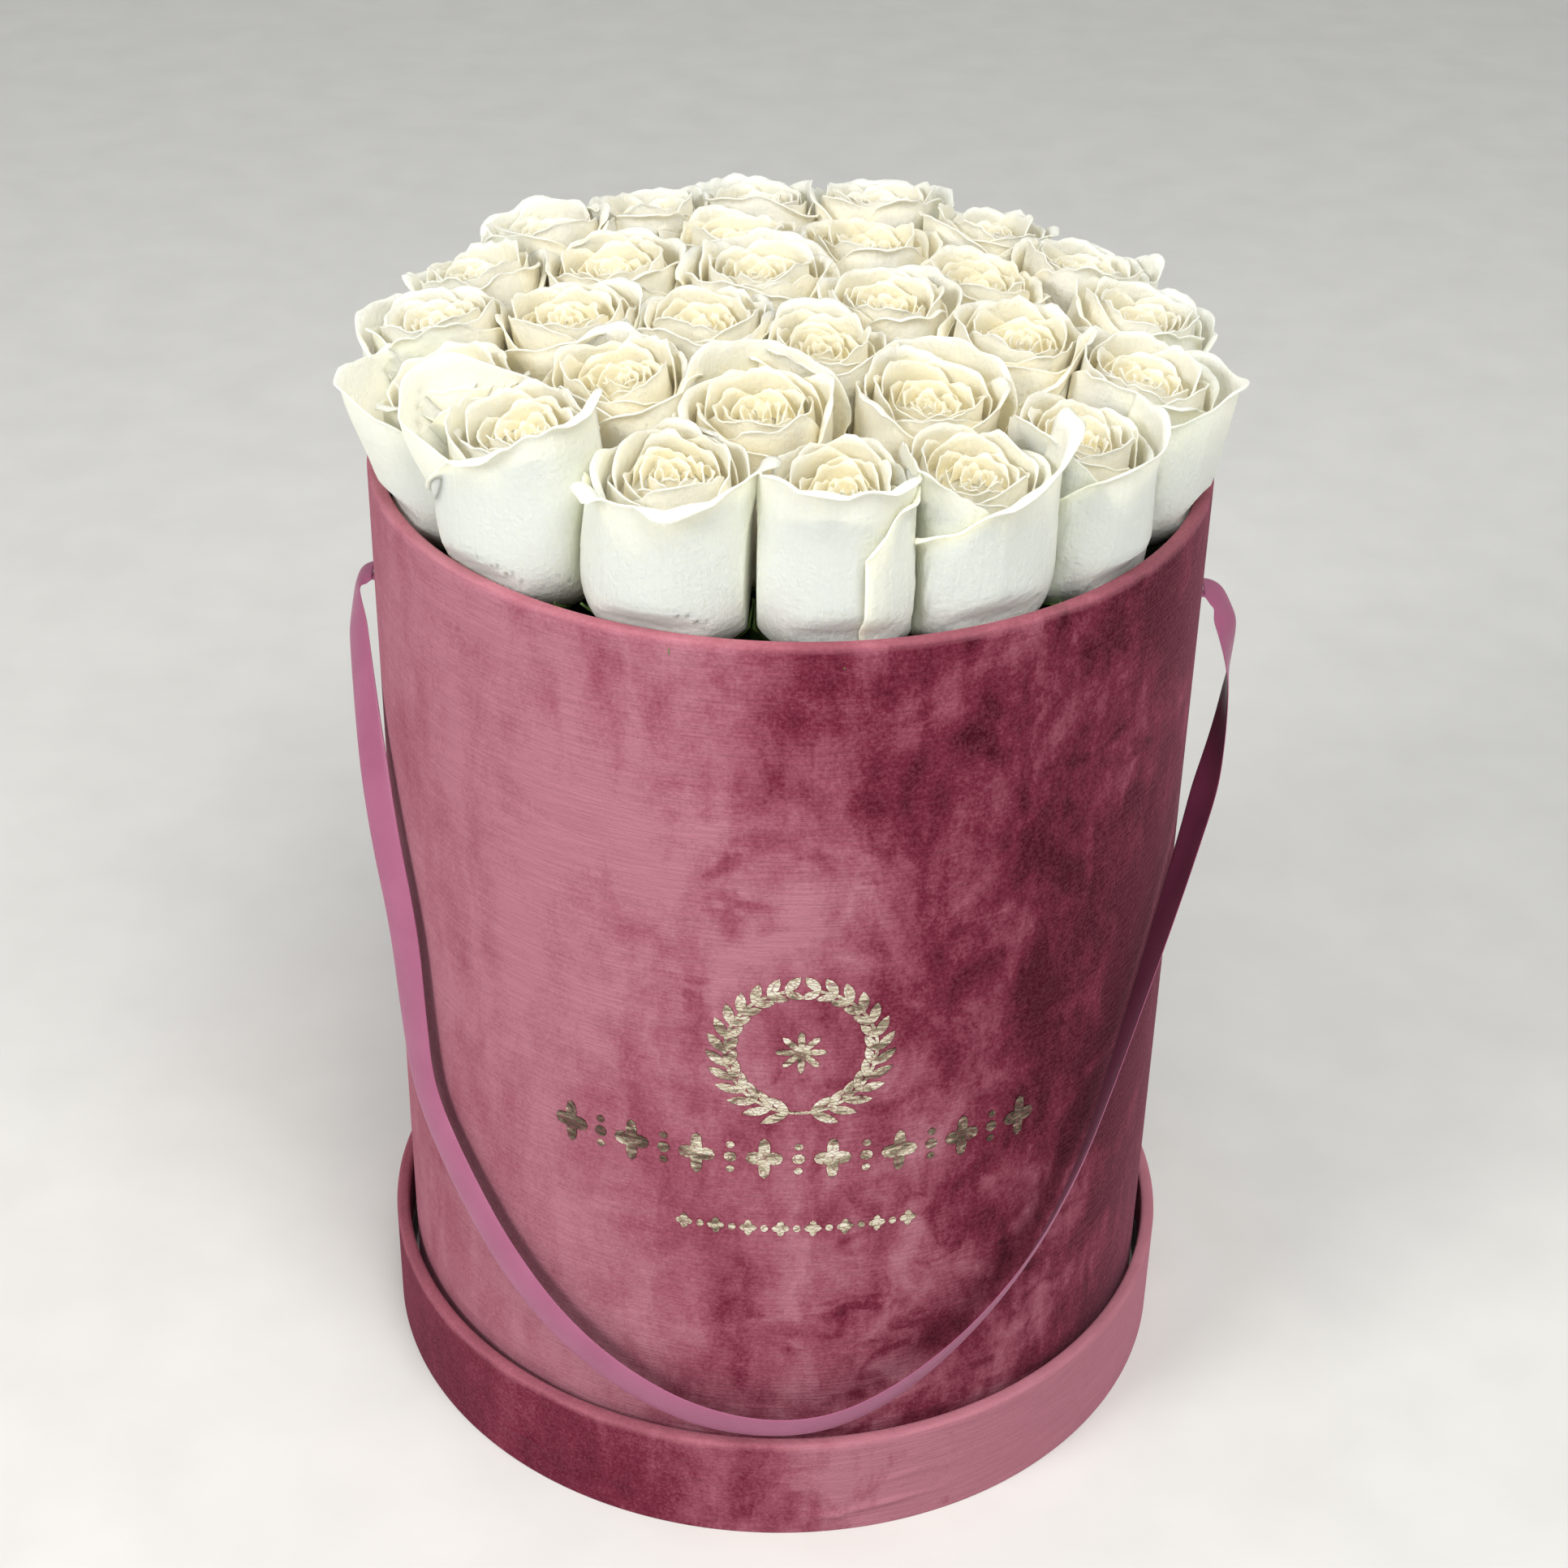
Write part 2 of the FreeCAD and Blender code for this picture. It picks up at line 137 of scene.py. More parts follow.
class Shader:
    """A material's node tree, with short calls to add and join nodes."""

    def __init__(self, name, **settings):
        self.material = bpy.data.materials.new(name)
        self.material.use_nodes = True
        self.tree = self.material.node_tree
        self.bsdf = self.tree.nodes["Principled BSDF"]
        for socket, value in settings.items():
            self.bsdf.inputs[socket.replace("_", " ")].default_value = value

    def node(self, kind, inputs=None, **properties):
        """Add a node; inputs maps socket names or numbers to values or to other sockets."""
        made = self.tree.nodes.new(kind)
        for name, value in properties.items():
            setattr(made, name, value)
        for name, value in (inputs or {}).items():
            if isinstance(value, bpy.types.NodeSocket):
                self.tree.links.new(value, made.inputs[name])
            else:
                made.inputs[name].default_value = value
        return made

    def link(self, output, socket):
        """Join an output to an input of the surface shader."""
        self.tree.links.new(output, self.bsdf.inputs[socket])

    def place(self, scale=(1, 1, 1)):
        """Object coordinates in metres, stretched."""
        coordinates = self.node("ShaderNodeTexCoord").outputs["Object"]
        inputs = {"Vector": coordinates, "Scale": scale}
        return self.node("ShaderNodeMapping", inputs).outputs["Vector"]

    def noise(self, vector, scale, detail=3.0, roughness=0.5, distortion=0.0):
        """Fractal noise from 0 to 1."""
        inputs = {"Vector": vector, "Scale": scale, "Detail": detail, "Roughness": roughness}
        inputs["Distortion"] = distortion
        return self.node("ShaderNodeTexNoise", inputs).outputs["Fac"]

    def attribute(self, name, output="Fac"):
        """A value kept on the mesh."""
        return self.node("ShaderNodeAttribute", attribute_name=name).outputs[output]

    def ramp(self, factor, *stops):
        """Colours at positions along a factor."""
        made = self.node("ShaderNodeValToRGB", {"Fac": factor})
        elements = made.color_ramp.elements
        while len(elements) < len(stops):
            elements.new(0.5)
        for element, (position, colour) in zip(elements, stops):
            element.position = position
            element.color = (*colour, 1)
        return made.outputs["Color"]

    def mix(self, factor, first, second, blend="MIX"):
        """Two colours mixed."""
        made = self.node("ShaderNodeMix", data_type="RGBA", blend_type=blend)
        for number, value in ((0, factor), (6, first), (7, second)):
            if isinstance(value, bpy.types.NodeSocket):
                self.tree.links.new(value, made.inputs[number])
            elif number:
                made.inputs[number].default_value = (*value, 1)
            else:
                made.inputs[number].default_value = value
        return made.outputs[2]

    def math(self, operation, first, second=0.0):
        """One sum on two numbers."""
        return self.node("ShaderNodeMath", {0: first, 1: second}, operation=operation).outputs[0]

    def rescale(self, value, low, high, new_low, new_high):
        """A number carried from one range to another."""
        names = ("Value", "From Min", "From Max", "To Min", "To Max")
        inputs = dict(zip(names, (value, low, high, new_low, new_high)))
        return self.node("ShaderNodeMapRange", inputs).outputs["Result"]

    def bump(self, height, strength, distance):
        """Bump from a height, on the surface shader's normal."""
        made = self.node(
            "ShaderNodeBump", {"Height": height, "Strength": strength, "Distance": distance}
        )
        self.link(made.outputs["Normal"], "Normal")


def petal_material():
    """White petals: cool at the lips and creamy in the depth, partly their own cream and partly
    painted glow for light passing between petals, with fine veins from the base.
    """
    s = Shader(
        "petal",
        Roughness=0.52,
        Subsurface_Weight=0.75,
        Subsurface_Radius=(1.0, 0.9, 0.7),
        Subsurface_Scale=0.004,
        Sheen_Weight=0.08,
        Sheen_Roughness=0.5,
    )
    depth = s.attribute("depth")
    vein_place = s.attribute("vein", "Vector")
    blotch = s.noise(s.place(), 60.0, 3.0)
    cream_and_painted_glow = s.ramp(
        s.math("ADD", depth, s.rescale(blotch, 0, 1, -0.06, 0.06)),
        (0.0, (0.900, 0.925, 0.710)),
        (0.22, (0.960, 0.935, 0.765)),
        (0.50, (0.985, 0.928, 0.735)),
        (1.0, (0.992, 0.895, 0.615)),
    )
    veins = s.noise(vein_place, 1.0, 4.0, 0.6, 0.4)
    tint = s.mix(s.rescale(veins, 0.45, 0.75, 0.0, 0.22), cream_and_painted_glow, (0.84, 0.85, 0.72))
    s.link(tint, "Base Color")
    crumple = s.noise(s.place((1.0, 1.0, 0.6)), 95.0, 3.0, 0.6, 0.4)
    relief = s.math("ADD", veins, s.math("MULTIPLY", crumple, 2.2))
    s.bump(s.math("ADD", relief, s.noise(s.place(), 900.0, 2.0)), 0.45, 0.0006)
    return s.material


def velvet_material(name, edge_level, left, right, far):
    """Dusty rose velvet: handled nap in soft blotches, a fine cross rib and a painted pale
    highlight on the turned edge.

    edge_level is the turned edge's height. The nap's shade (0.34 dark, 0.64 pale) goes from left to
    right across the front, and far is added at the far right; both are painted shading for where
    the light and the sheen fall.
    """
    s = Shader(
        name,
        Roughness=0.8,
        Specular_IOR_Level=0.02,
        Sheen_Weight=0.22,
        Sheen_Roughness=0.35,
        Sheen_Tint=(1.0, 0.40, 0.55, 1.0),
    )
    wide = s.noise(s.place((1, 1, 0.8)), 13.0, 2.0, 0.5, 0.6)
    handled = s.noise(s.place((1, 1, 0.9)), 52.0, 5.0, 0.62, 0.5)
    brushed = s.noise(s.place((1.0, 1.0, 0.35)), 120.0, 4.0, 0.6, 0.5)
    rib = s.noise(s.place((0.35, 0.35, 7.0)), 210.0, 2.0, 0.6)
    pile = s.noise(s.place(), 1100.0, 3.0, 0.8)
    nap = s.math("ADD", s.math("MULTIPLY", wide, 0.34), s.math("MULTIPLY", handled, 0.40))
    nap = s.math("ADD", nap, s.math("MULTIPLY", brushed, 0.26))
    side = s.node("ShaderNodeSeparateXYZ", {"Vector": s.place()}).outputs
    # The blotches are faint on the left and grow stronger to the right.
    blotch_contrast = s.rescale(side["X"], -0.6 * BOX_R, 0.5 * BOX_R, 0.45, 1.25)
    nap = s.math("MULTIPLY", s.math("SUBTRACT", nap, 0.5), blotch_contrast)
    # Painted shading: the velvet's shade is shifted from left to right across the front, and again
    # at the far right, to follow where the light and the sheen fall.
    nap = s.math("ADD", nap, s.rescale(side["X"], -0.45 * BOX_R, BOX_R, left, right))
    nap = s.math("ADD", nap, s.rescale(side["X"], 0.7 * BOX_R, 0.98 * BOX_R, 0.0, far))
    nap = s.math("ADD", nap, s.rescale(pile, 0.3, 0.7, -0.030, 0.030))
    # Marks that fingers left where the box was held.
    finger = s.rescale(s.noise(s.place((1, 1, 1.5)), 62.0, 2.0, 0.5, 0.8), 0.54, 0.64, 0.0, 1.0)
    held = s.rescale(s.noise(s.place(), 11.0, 1.0), 0.46, 0.62, 0.0, 1.0)
    held = s.math("MULTIPLY", held, s.rescale(side["X"], -0.45 * BOX_R, -0.1 * BOX_R, 0.0, 1.0))
    nap = s.math("SUBTRACT", nap, s.math("MULTIPLY", s.math("MULTIPLY", finger, held), 0.075))
    colour = s.ramp(
        nap,
        (0.34, (0.048, 0.002, 0.008)),
        (0.45, (0.135, 0.015, 0.034)),
        (0.54, (0.255, 0.066, 0.100)),
        (0.64, (0.375, 0.150, 0.195)),
    )
    # Painted highlight: the turned edge is made paler, with a wavy border, where the sheen catches
    # the fold.
    border = s.math("ADD", side["Z"], s.rescale(handled, 0, 1, -0.0015, 0.0015))
    painted_edge_highlight = s.rescale(border, edge_level - 2.4 * MM, edge_level - 0.6 * MM, 0.0, 0.38)
    colour = s.mix(painted_edge_highlight, colour, (0.50, 0.19, 0.24))
    fine = s.mix(s.rescale(pile, 0.42, 0.68, 0.0, 0.12), colour, (0.46, 0.18, 0.24))
    fine = s.mix(s.rescale(rib, 0.35, 0.65, 0.0, 0.14), fine, (0.10, 0.012, 0.03))
    s.link(fine, "Base Color")
    height = s.math("ADD", s.math("MULTIPLY", pile, 0.6), s.math("MULTIPLY", rib, 0.7))
    s.bump(s.math("ADD", height, s.math("MULTIPLY", handled, 1.5)), 0.6, 0.0007)
    return s.material


def satin_material():
    """Lavender-pink satin: smooth, with fine threads across and slightly uneven sheen."""
    s = Shader(
        "satin",
        Roughness=0.34,
        Specular_IOR_Level=0.25,
        Sheen_Weight=0.12,
        Sheen_Roughness=0.3,
        Sheen_Tint=(1.0, 0.80, 0.95, 1.0),
    )
    # Painted shade: the inner face gets a darker copy of the outer colour, for the side turned from
    # the light.
    side = s.attribute("face")
    shade = s.noise(s.place(), 90.0, 2.0)
    outer = s.mix(shade, (0.265, 0.070, 0.142), (0.35, 0.110, 0.203))
    inner = s.mix(shade, (0.11, 0.018, 0.045), (0.17, 0.035, 0.075))
    s.link(s.mix(side, inner, outer), "Base Color")
    threads = s.noise(s.place(), 2400.0, 2.0, 0.6)
    s.link(s.rescale(threads, 0.3, 0.7, 0.28, 0.44), "Roughness")
    s.bump(s.math("ADD", threads, s.math("MULTIPLY", shade, 2.0)), 0.3, 0.0003)
    return s.material


def foil_material():
    """Champagne hot foil pressed into the pile: bright, with painted reflections in streaks that
    darken towards the sides, and fine cracks where the nap parts it.
    """
    s = Shader("foil", Metallic=1.0, Roughness=0.3)
    cracks = s.node(
        "ShaderNodeTexVoronoi",
        {"Vector": s.place((1.0, 1.0, 2.4)), "Scale": 520.0},
        feature="DISTANCE_TO_EDGE",
    ).outputs["Distance"]
    patch = s.noise(s.place(), 260.0, 3.0)
    side = s.node("ShaderNodeSeparateXYZ", {"Vector": s.place()}).outputs
    off = s.math("ABSOLUTE", s.math("ADD", side["X"], -0.05 * BOX_R))
    streak = s.noise(s.place((0.7, 0.7, 1.8)), 190.0, 4.0, 0.7, 1.0)
    # Painted reflection: bright and dark streaks in the foil's colour, brighter near the front
    # middle and darker towards the sides where the wall turns away.
    painted_reflection = s.math("ADD", streak, s.rescale(off, 0.1 * BOX_R, 0.55 * BOX_R, 0.06, -0.16))
    gold_with_painted_reflection = s.ramp(
        painted_reflection,
        (0.36, (0.075, 0.062, 0.040)),
        (0.47, (0.300, 0.265, 0.185)),
        (0.55, (0.720, 0.670, 0.500)),
        (0.68, (0.950, 0.920, 0.790)),
    )
    pile_shows = s.rescale(cracks, 0.02, 0.10, 0.75, 0.0)
    s.link(s.mix(pile_shows, gold_with_painted_reflection, (0.25, 0.08, 0.10)), "Base Color")
    s.link(s.rescale(patch, 0.3, 0.7, 0.14, 0.36), "Roughness")
    waves = s.noise(s.place((1.0, 1.0, 0.6)), 110.0, 2.0)
    relief = s.math("ADD", s.math("MULTIPLY", cracks, 0.5), s.math("MULTIPLY", waves, 3.0))
    s.bump(relief, 0.8, 0.0006)
    return s.material


def plain_material(name, first, second, scale, roughness, bump=0.3, stretch=(1, 1, 1), **settings):
    """Two-colour grain with a matching bump, for boards, papers, foam and stems."""
    s = Shader(name, Roughness=roughness, **settings)
    grain = s.noise(s.place(stretch), scale, 4.0, 0.6)
    s.link(s.ramp(grain, (0.3, first), (0.7, second)), "Base Color")
    s.link(s.rescale(grain, 0.3, 0.7, roughness - 0.06, roughness + 0.06), "Roughness")
    s.bump(grain, bump, 0.0004)
    return s.material


# ---- roses

# Petals of a rose lie on one spiral, numbered from the outside in. Its turn brings each next
# petal 137.5 degrees round, and every petal's outer edge lies under the one before it.
# The first petals are guards, which stand outermost, and the next ones up to HOODS are hoods.
PETALS = 25
GUARDS = 4
HOODS = 10
PETAL_TURN = math.radians(137.5)
GUARD_GRID, INNER_GRID = (34, 40), (24, 26)
GUARD_THICKNESS, INNER_THICKNESS = 0.42, 0.34
BODY_SHARE = 0.68  # of a petal's rows that lie on the bud; the others make the turned lip
# Radii of the shells in mm: at the calyx, and widest at the outermost shell and at the heart.
NECK = 1.8
BELLY = 20.2
HEART = 1.0
BASE_LEVEL = 3.6  # height in mm where the petals start to widen
WIDENING = 18.0  # height in mm over which they do
# The dome of folded petals that fills the bud: radius, top and fall to the border in mm.
DOME_RADIUS, DOME_TOP, DOME_FALL = 15.0, 41.2, 6.0
# How a rose is pressed: sharpness of the corners between its neighbours, and most it can give.
CORNERS = 7.0
MOST_PRESSED = 0.30
NEIGHBOUR_REACH = 60 * MM
PETAL_ROOM = BOX_R - 4.4 * MM
SEPAL_ROOM = BOX_R - 3.9 * MM


def family(share, level):
    """Radius in mm of the nested shells that the petals lie on.

    share is 0 on the outermost shell and 1 at the heart; level is the height above the calyx.
    """
    belly = HEART + (BELLY - HEART) * (1 - share) ** 0.9
    swell = np.sin(np.clip((level - BASE_LEVEL) / WIDENING, 0, 1) * math.pi / 2) ** 0.6
    drawn_in = (0.15 + 0.27 * share) * smooth_step(level, 22, 48)
    return (NECK + (belly - NECK) * swell) * (1 - drawn_in)


# Kinds of petal from the outside in: the number that ends the kind, the ranges of width (deg),
# height (mm), hem's drop, lip (mm) and lip's turn (deg), and the ruffle.
PETAL_KINDS = (
    (GUARDS, (80, 94), (46.0, 49.5), (0.14, 0.42), (2.6, 4.2), (75, 135), 1.0),
    (HOODS, (74, 88), (46.8, 49.5), (0.08, 0.24), (1.6, 2.8), (30, 85), 0.9),
    (PETALS, (66, 84), (-0.7, 0.7), (0.05, 0.16), (1.3, 2.1), (25, 75), 0.6),
)


def petal_shape(rng, number, bearing, own):
    """Sizes of one petal: angles in radians, lengths in mm, drops as shares of the height.

    The hem drops towards the left and right edges and leans to one side; the lip turns outward;
    open and the flares stand away from the bud; a tucked petal's right shoulder is covered.
    """
    _, width, height, drop, lip, turn, ruffle = next(k for k in PETAL_KINDS if number < k[0])
    shape = {
        "width": math.radians(rng.uniform(*width)),
        "height": rng.uniform(*height),
        "drop_left": rng.uniform(*drop),
        "drop_right": rng.uniform(*drop),
        "lip": rng.uniform(*lip),
        "turn": math.radians(rng.uniform(*turn)),
        "ruffle": ruffle,
    }
    if number >= HOODS:
        # The innermost petals end at a level that falls towards the heart.
        shape["height"] += 47.4 - 3.0 * (number / (PETALS - 1))
    shape["bearing"] = bearing
    shape["number"] = number
    shape["lean"] = rng.uniform(-1.2, 1.2)
    shape["open"] = 0.0
    # Only edges that no other petal covers stand away from the bud.
    shape["flare_left"] = rng.uniform(0.5, 1.5) * (number == 0)
    shape["flare_right"] = rng.uniform(0.5, 1.5) * (number < 2)
    shape["tucked"] = number > 1
    shape.update(own)
    return shape


def petal(rng, shape, bend, rows, columns):
    """Middle surface of one petal in mm about the rose's axis, as (rows, columns, 3).

    Its places across (-1 to 1) and up (0 to 1) and its shares of the way in come with it.
    """
    spread = np.linspace(-1, 1, columns)
    spread = 0.45 * np.sin(spread * math.pi / 2) + 0.55 * spread
    body_rows = int(rows * BODY_SHARE)
    lip_rows = rows - body_rows
    u, v = np.meshgrid(spread, np.linspace(0, 1, body_rows))
    left, right = np.clip(-u, 0, 1), np.clip(u, 0, 1)
    drop = shape["drop_left"] * left ** 2.3 + shape["drop_right"] * right ** 2.3
    ruffle = 0.9 * wave(u * 2.5, rng) + 1.3 * np.abs(wave(u * 4.0, rng)) - 0.6
    hem = shape["height"] * (1 - drop) + shape["ruffle"] * ruffle + shape["lean"] * u
    opened = 0.5 + 0.5 * smooth_step(v, 0.0, 0.55)
    angle = shape["bearing"] + u * shape["width"] * opened
    share = np.clip((shape["number"] + 0.15 * u) / (PETALS - 1), 0, 1)
    level = v * (hem - shape["lip"] * 0.6)
    radius = family(share, level) + 0.3 * (shape["number"] == 0) * smooth_step(v, 0.1, 0.4)
    edge = shape["flare_left"] * smooth_step(left, 0.55, 1.0)
    edge += shape["flare_right"] * smooth_step(right, 0.55, 1.0)
    radius += edge * smooth_step(v, 0.35, 1.0)
    radius += shape["open"] * np.cos(u * math.pi / 2) ** 1.5 * smooth_step(v, 0.35, 1.0) ** 1.5
    radius -= 0.12 * np.cos(math.pi * u) * smooth_step(v, 0.3, 0.9)
    # The lip turns outward, widely in some places and hardly in others.
    rolled = smooth_step(wave(u[0] * 3.2, rng), -0.7, 0.6)
    # Where another petal covers the shoulder, it lies flat.
    flat = smooth_step(left[0], 0.40, 0.80) * (shape["number"] > 0)
    flat += smooth_step(right[0], 0.40, 0.80) * shape["tucked"]
    start = np.arctan2(radius[-1] - radius[-2], np.maximum(level[-1] - level[-2], 1e-6))
    turn = start + (shape["turn"] * (0.25 + 0.75 * rolled) - start) * (1 - flat)
    length = shape["lip"] * (0.45 + 0.65 * rolled * (1 - flat))
    rings, levels = [radius], [level]
    r, z = radius[-1].copy(), level[-1].copy()
    for i in range(lip_rows):
        slope = start + (turn - start) * ((i + 1) / lip_rows) ** 1.6
        r = r + length / lip_rows * np.sin(slope)
        z = z + length / lip_rows * np.cos(slope)
        rings.append(r[None])
        levels.append(z[None])
    radius, level = np.concatenate(rings), np.concatenate(levels)
    angle, share = (np.concatenate([x, np.repeat(x[-1:], lip_rows, 0)]) for x in (angle, share))
    u = np.repeat(spread[None], rows, 0)
    v = np.repeat(np.linspace(0, 1, rows)[:, None], columns, 1)
    radius = radius * (1 + bend(angle, level))
    radius += 0.10 * wave(u * 14.0 + v * 2.0, rng, low=0.8, high=2.0) * smooth_step(v, 0.2, 0.8)
    return around(angle, radius, level), u, v, share


def shell(surface, thickness):
    """Both sides of a surface's grid and the closed skin of faces round them."""
    rows, columns, _ = surface.shape
    along = np.gradient(surface, axis=0)
    across = np.gradient(surface, axis=1)
    normal = np.cross(across, along)
    normal /= np.maximum(np.linalg.norm(normal, axis=2, keepdims=True), 1e-9)
    outside = (surface + normal * thickness / 2).reshape(-1, 3)
    inside = (surface - normal * thickness / 2).reshape(-1, 3)
    count = rows * columns
    sheet = np.array(grid_faces(rows, columns))
    border = list(range(columns))
    border += [i * columns + columns - 1 for i in range(1, rows)]
    border += [(rows - 1) * columns + j for j in range(columns - 2, -1, -1)]
    border += [i * columns for i in range(rows - 2, 0, -1)]
    a, b = np.array(border), np.array(border[1:] + border[:1])
    edge = np.stack([b, a, count + a, count + b], 1)
    faces = np.concatenate([sheet, count + sheet[:, ::-1], edge])
    return np.concatenate([outside, inside]), faces


def rose_points(number, spin, own_shapes):
    """Points, faces, warmth and vein places of one rose in mm about its axis; the warmth is partly
    the petals' own cream and partly painted glow for light passing between them.
    """
    rng = np.random.default_rng(100 + number)
    points, faces, depth, vein = [], [], [], []
    count = 0
    phase = rng.uniform(0, 2 * math.pi, 4)
    off = rng.uniform(-1.6, 1.6, 2)

    def bend(angle, level):
        """Uneven growth shared by all the petals of the rose."""
        high = smooth_step(level, 8, 40)
        uneven = 0.045 * np.cos(2 * angle + phase[0]) + 0.035 * np.cos(3 * angle + phase[1])
        folds = 0.016 * np.cos(5 * angle + phase[2] + level / 14)
        folds += 0.012 * np.cos(9 * angle + phase[3] - level / 11)
        return high * (uneven + folds * (0.6 + 0.4 * np.cos(angle + phase[1])))

    bearing = math.radians(spin)
    for k in range(PETALS):
        shape = petal_shape(rng, k, bearing, own_shapes.get(k, {}))
        surface, u, v, share = petal(rng, shape, bend, *(GUARD_GRID if k < GUARDS else INNER_GRID))
        high = smooth_step(surface[..., 2], 15, 45) * share ** 1.5
        surface[..., :2] += off * high[..., None]
        made, skin = shell(surface, GUARD_THICKNESS if k < GUARDS else INNER_THICKNESS)
        points.append(made)
        faces.append(skin + count)
        count += len(made)
        # Painted glow: the covered lower parts and the inner faces of the petals are made warmer,
        # for light passing between them; the inner petals' cream is partly their own colour.
        low = 1 - smooth_step(v, 0.45, 0.95)
        outside = 0.02 + 0.62 * share + (0.05 if k < GUARDS else 0.30) * low
        inside = 0.14 + 0.66 * share + 0.40 * low
        depth += [np.clip(outside, 0, 1).reshape(-1), np.clip(inside, 0, 1).reshape(-1)]
        grain = np.stack([u * shape["width"] * 15, v * 1.5, np.full_like(u, 7.0 * k)], -1)
        vein += [grain.reshape(-1, 3)] * 2
        bearing += PETAL_TURN + rng.uniform(-0.12, 0.12)
    # The folded petals that fill the bud between the ones above.
    across, angle = np.meshgrid(
        np.linspace(0.02, 1, 22), np.linspace(-math.pi, math.pi, 49), indexing="ij"
    )
    level = DOME_TOP - DOME_FALL * across ** 4 + 0.5 * np.cos(across * 22 - angle)
    dome = around(angle, DOME_RADIUS * across * (1 + bend(angle, level)), level)
    dome[..., :2] += off * (smooth_step(level, 15, 45) * (1 - across) ** 1.5)[..., None]
    made, skin = shell(dome, 0.5)
    points.append(made)
    faces.append(skin + count)
    depth.append(np.full(len(made), 0.85))
    vein.append(made * 0.12)
    return [np.concatenate(parts) for parts in (points, faces, depth, vein)]


def tilt(direction):
    """Matrix that turns the upright to a direction."""
    return np.array(Vector((0, 0, 1)).rotation_difference(Vector(direction)).to_matrix())


def rose_axes():
    """(calyx, direction) of every rose's axis in metres, from where its bloom stands."""
    axes = []
    for number in range(1, ROSE_COUNT + 1):
        low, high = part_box(f"rose_bloom_{number:02d}")
        direction = ((low + high) / 2 - BINDING).normalized()
        height = (high.z - low.z) / 2
        calyx = (low + high) / 2 - direction * (height / direction.z - 0.6 * MM)
        axes.append((np.array(calyx), np.array(direction)))
    return axes


def squeeze(world, own, axes, bore=PETAL_ROOM):
    """Press a rose into the room that its neighbours and the box wall leave it.

    own is the rose's place in axes, and bore the radius that holds it inside the box. Along each
    bearing every petal is drawn in by the same rule, so that their order stays.
    """
    calyx, direction = axes[own]
    level = world[:, 2]
    centre = calyx + direction * ((level - calyx[2]) / direction[2])[:, None]
    out = world - centre
    reach = np.hypot(out[:, 0], out[:, 1])
    way = out[:, :2] / np.maximum(reach, 1e-6)[:, None]
    above = smooth_step(level, RIM_Z - 1 * MM, RIM_Z + 14 * MM)
    wall = bore + 14 * MM * above
    along = np.einsum("ij,ij->i", centre[:, :2], way)
    across = np.hypot(centre[:, 0], centre[:, 1]) ** 2 - along ** 2
    room = np.sqrt(np.maximum(wall ** 2 - across, 1e-8)) - along
    crowd = room ** -CORNERS
    over = smooth_step(level, RIM_Z + 20 * MM, RIM_Z + 34 * MM)
    for other, (calyx_2, direction_2) in enumerate(axes):
        if other == own or np.linalg.norm((calyx - calyx_2)[:2]) > NEIGHBOUR_REACH:
            continue
        theirs = calyx_2 + direction_2 * ((level - calyx_2[2]) / direction_2[2])[:, None]
        gap = (theirs - centre)[:, :2]
        apart = np.linalg.norm(gap, axis=1)
        facing = np.einsum("ij,ij->i", way, gap) / apart
        half = apart / 2 - 0.15 * MM + 1.5 * MM * over
        crowd += np.where(facing > 0.05, (half / np.maximum(facing, 0.05)) ** -CORNERS, 0)
    limit = crowd ** (-1 / CORNERS)
    full = family(0, np.clip((level - calyx[2]) / direction[2] / MM, 0, 50)) * MM * 1.12
    tight = np.clip(1 - limit / full, 0, MOST_PRESSED)
    x = np.clip(reach / full, 0, 1.15)
    world[:, :2] -= out[:, :2] * (tight * x ** 2)[:, None]
    return world


# Under a listed hem the next petal keeps its lip short and upright.
PLAIN_HEM = {"turn": 0.1, "lip": 1.0}
# Roses that stand out, by their number: where the first guard petal faces (deg), and what is
# special about some of the rose's petals, by theirs.
KNOWN_ROSES = {
    1: (-12, {
        0: {"drop_left": 0.22, "drop_right": -0.04, "height": 52.0, "turn": 2.5, "lip": 5.0,
            "lean": 6.0, "width": 1.28},
        1: {"bearing": -2.1, "width": 1.15, "height": 50.5, "open": 12.0, "turn": 0.7,
            "drop_left": 0.1, "drop_right": 0.1, "tucked": True, "flare_right": 0.0},
        2: PLAIN_HEM,
    }),
    2: (-10, {
        0: {"drop_left": 0.10, "drop_right": 0.04, "height": 51.5, "turn": 2.8, "lip": 6.6,
            "lean": 2.0},
    }),
    3: (72, {
        0: {"width": 0.95, "height": 50.0, "drop_left": 0.16, "drop_right": 0.2},
        1: {"bearing": -0.15, "width": 1.5, "height": 56.5, "turn": 2.3, "lip": 5.0,
            "drop_left": 0.12, "drop_right": 0.06},
        2: PLAIN_HEM,
    }),
    4: (32, {
        0: {"drop_left": 0.16, "drop_right": 0.0, "height": 50.0, "turn": 2.6, "lip": 6.0,
            "lean": 8.0},
        1: {"bearing": -0.95, "width": 1.3, "height": 53.0, "turn": 1.2, "tucked": True,
            "flare_right": 0.0},
        2: PLAIN_HEM,
    }),
    5: (48, {
        0: {"drop_left": 0.34, "drop_right": 0.1, "height": 50.5, "turn": 1.6, "lean": 4.0},
        1: {"bearing": -0.75, "width": 1.35, "height": 51.5, "turn": 1.5, "drop_right": 0.3,
            "tucked": True, "flare_right": 0.0},
        2: PLAIN_HEM,
    }),
    6: (84, {0: {"height": 49.0, "open": 2.6, "turn": 1.3, "drop_left": 0.2}}),
    16: (-95, {0: {"height": 49.5, "open": 6.0, "turn": 1.0, "drop_right": 0.3}}),
    17: (-172, {0: {"height": 51.0, "open": 3.2, "turn": 0.7, "lip": 3.0}}),
    18: (170, {0: {"height": 50.5, "open": 2.6, "turn": 0.8, "lip": 3.0}}),
}


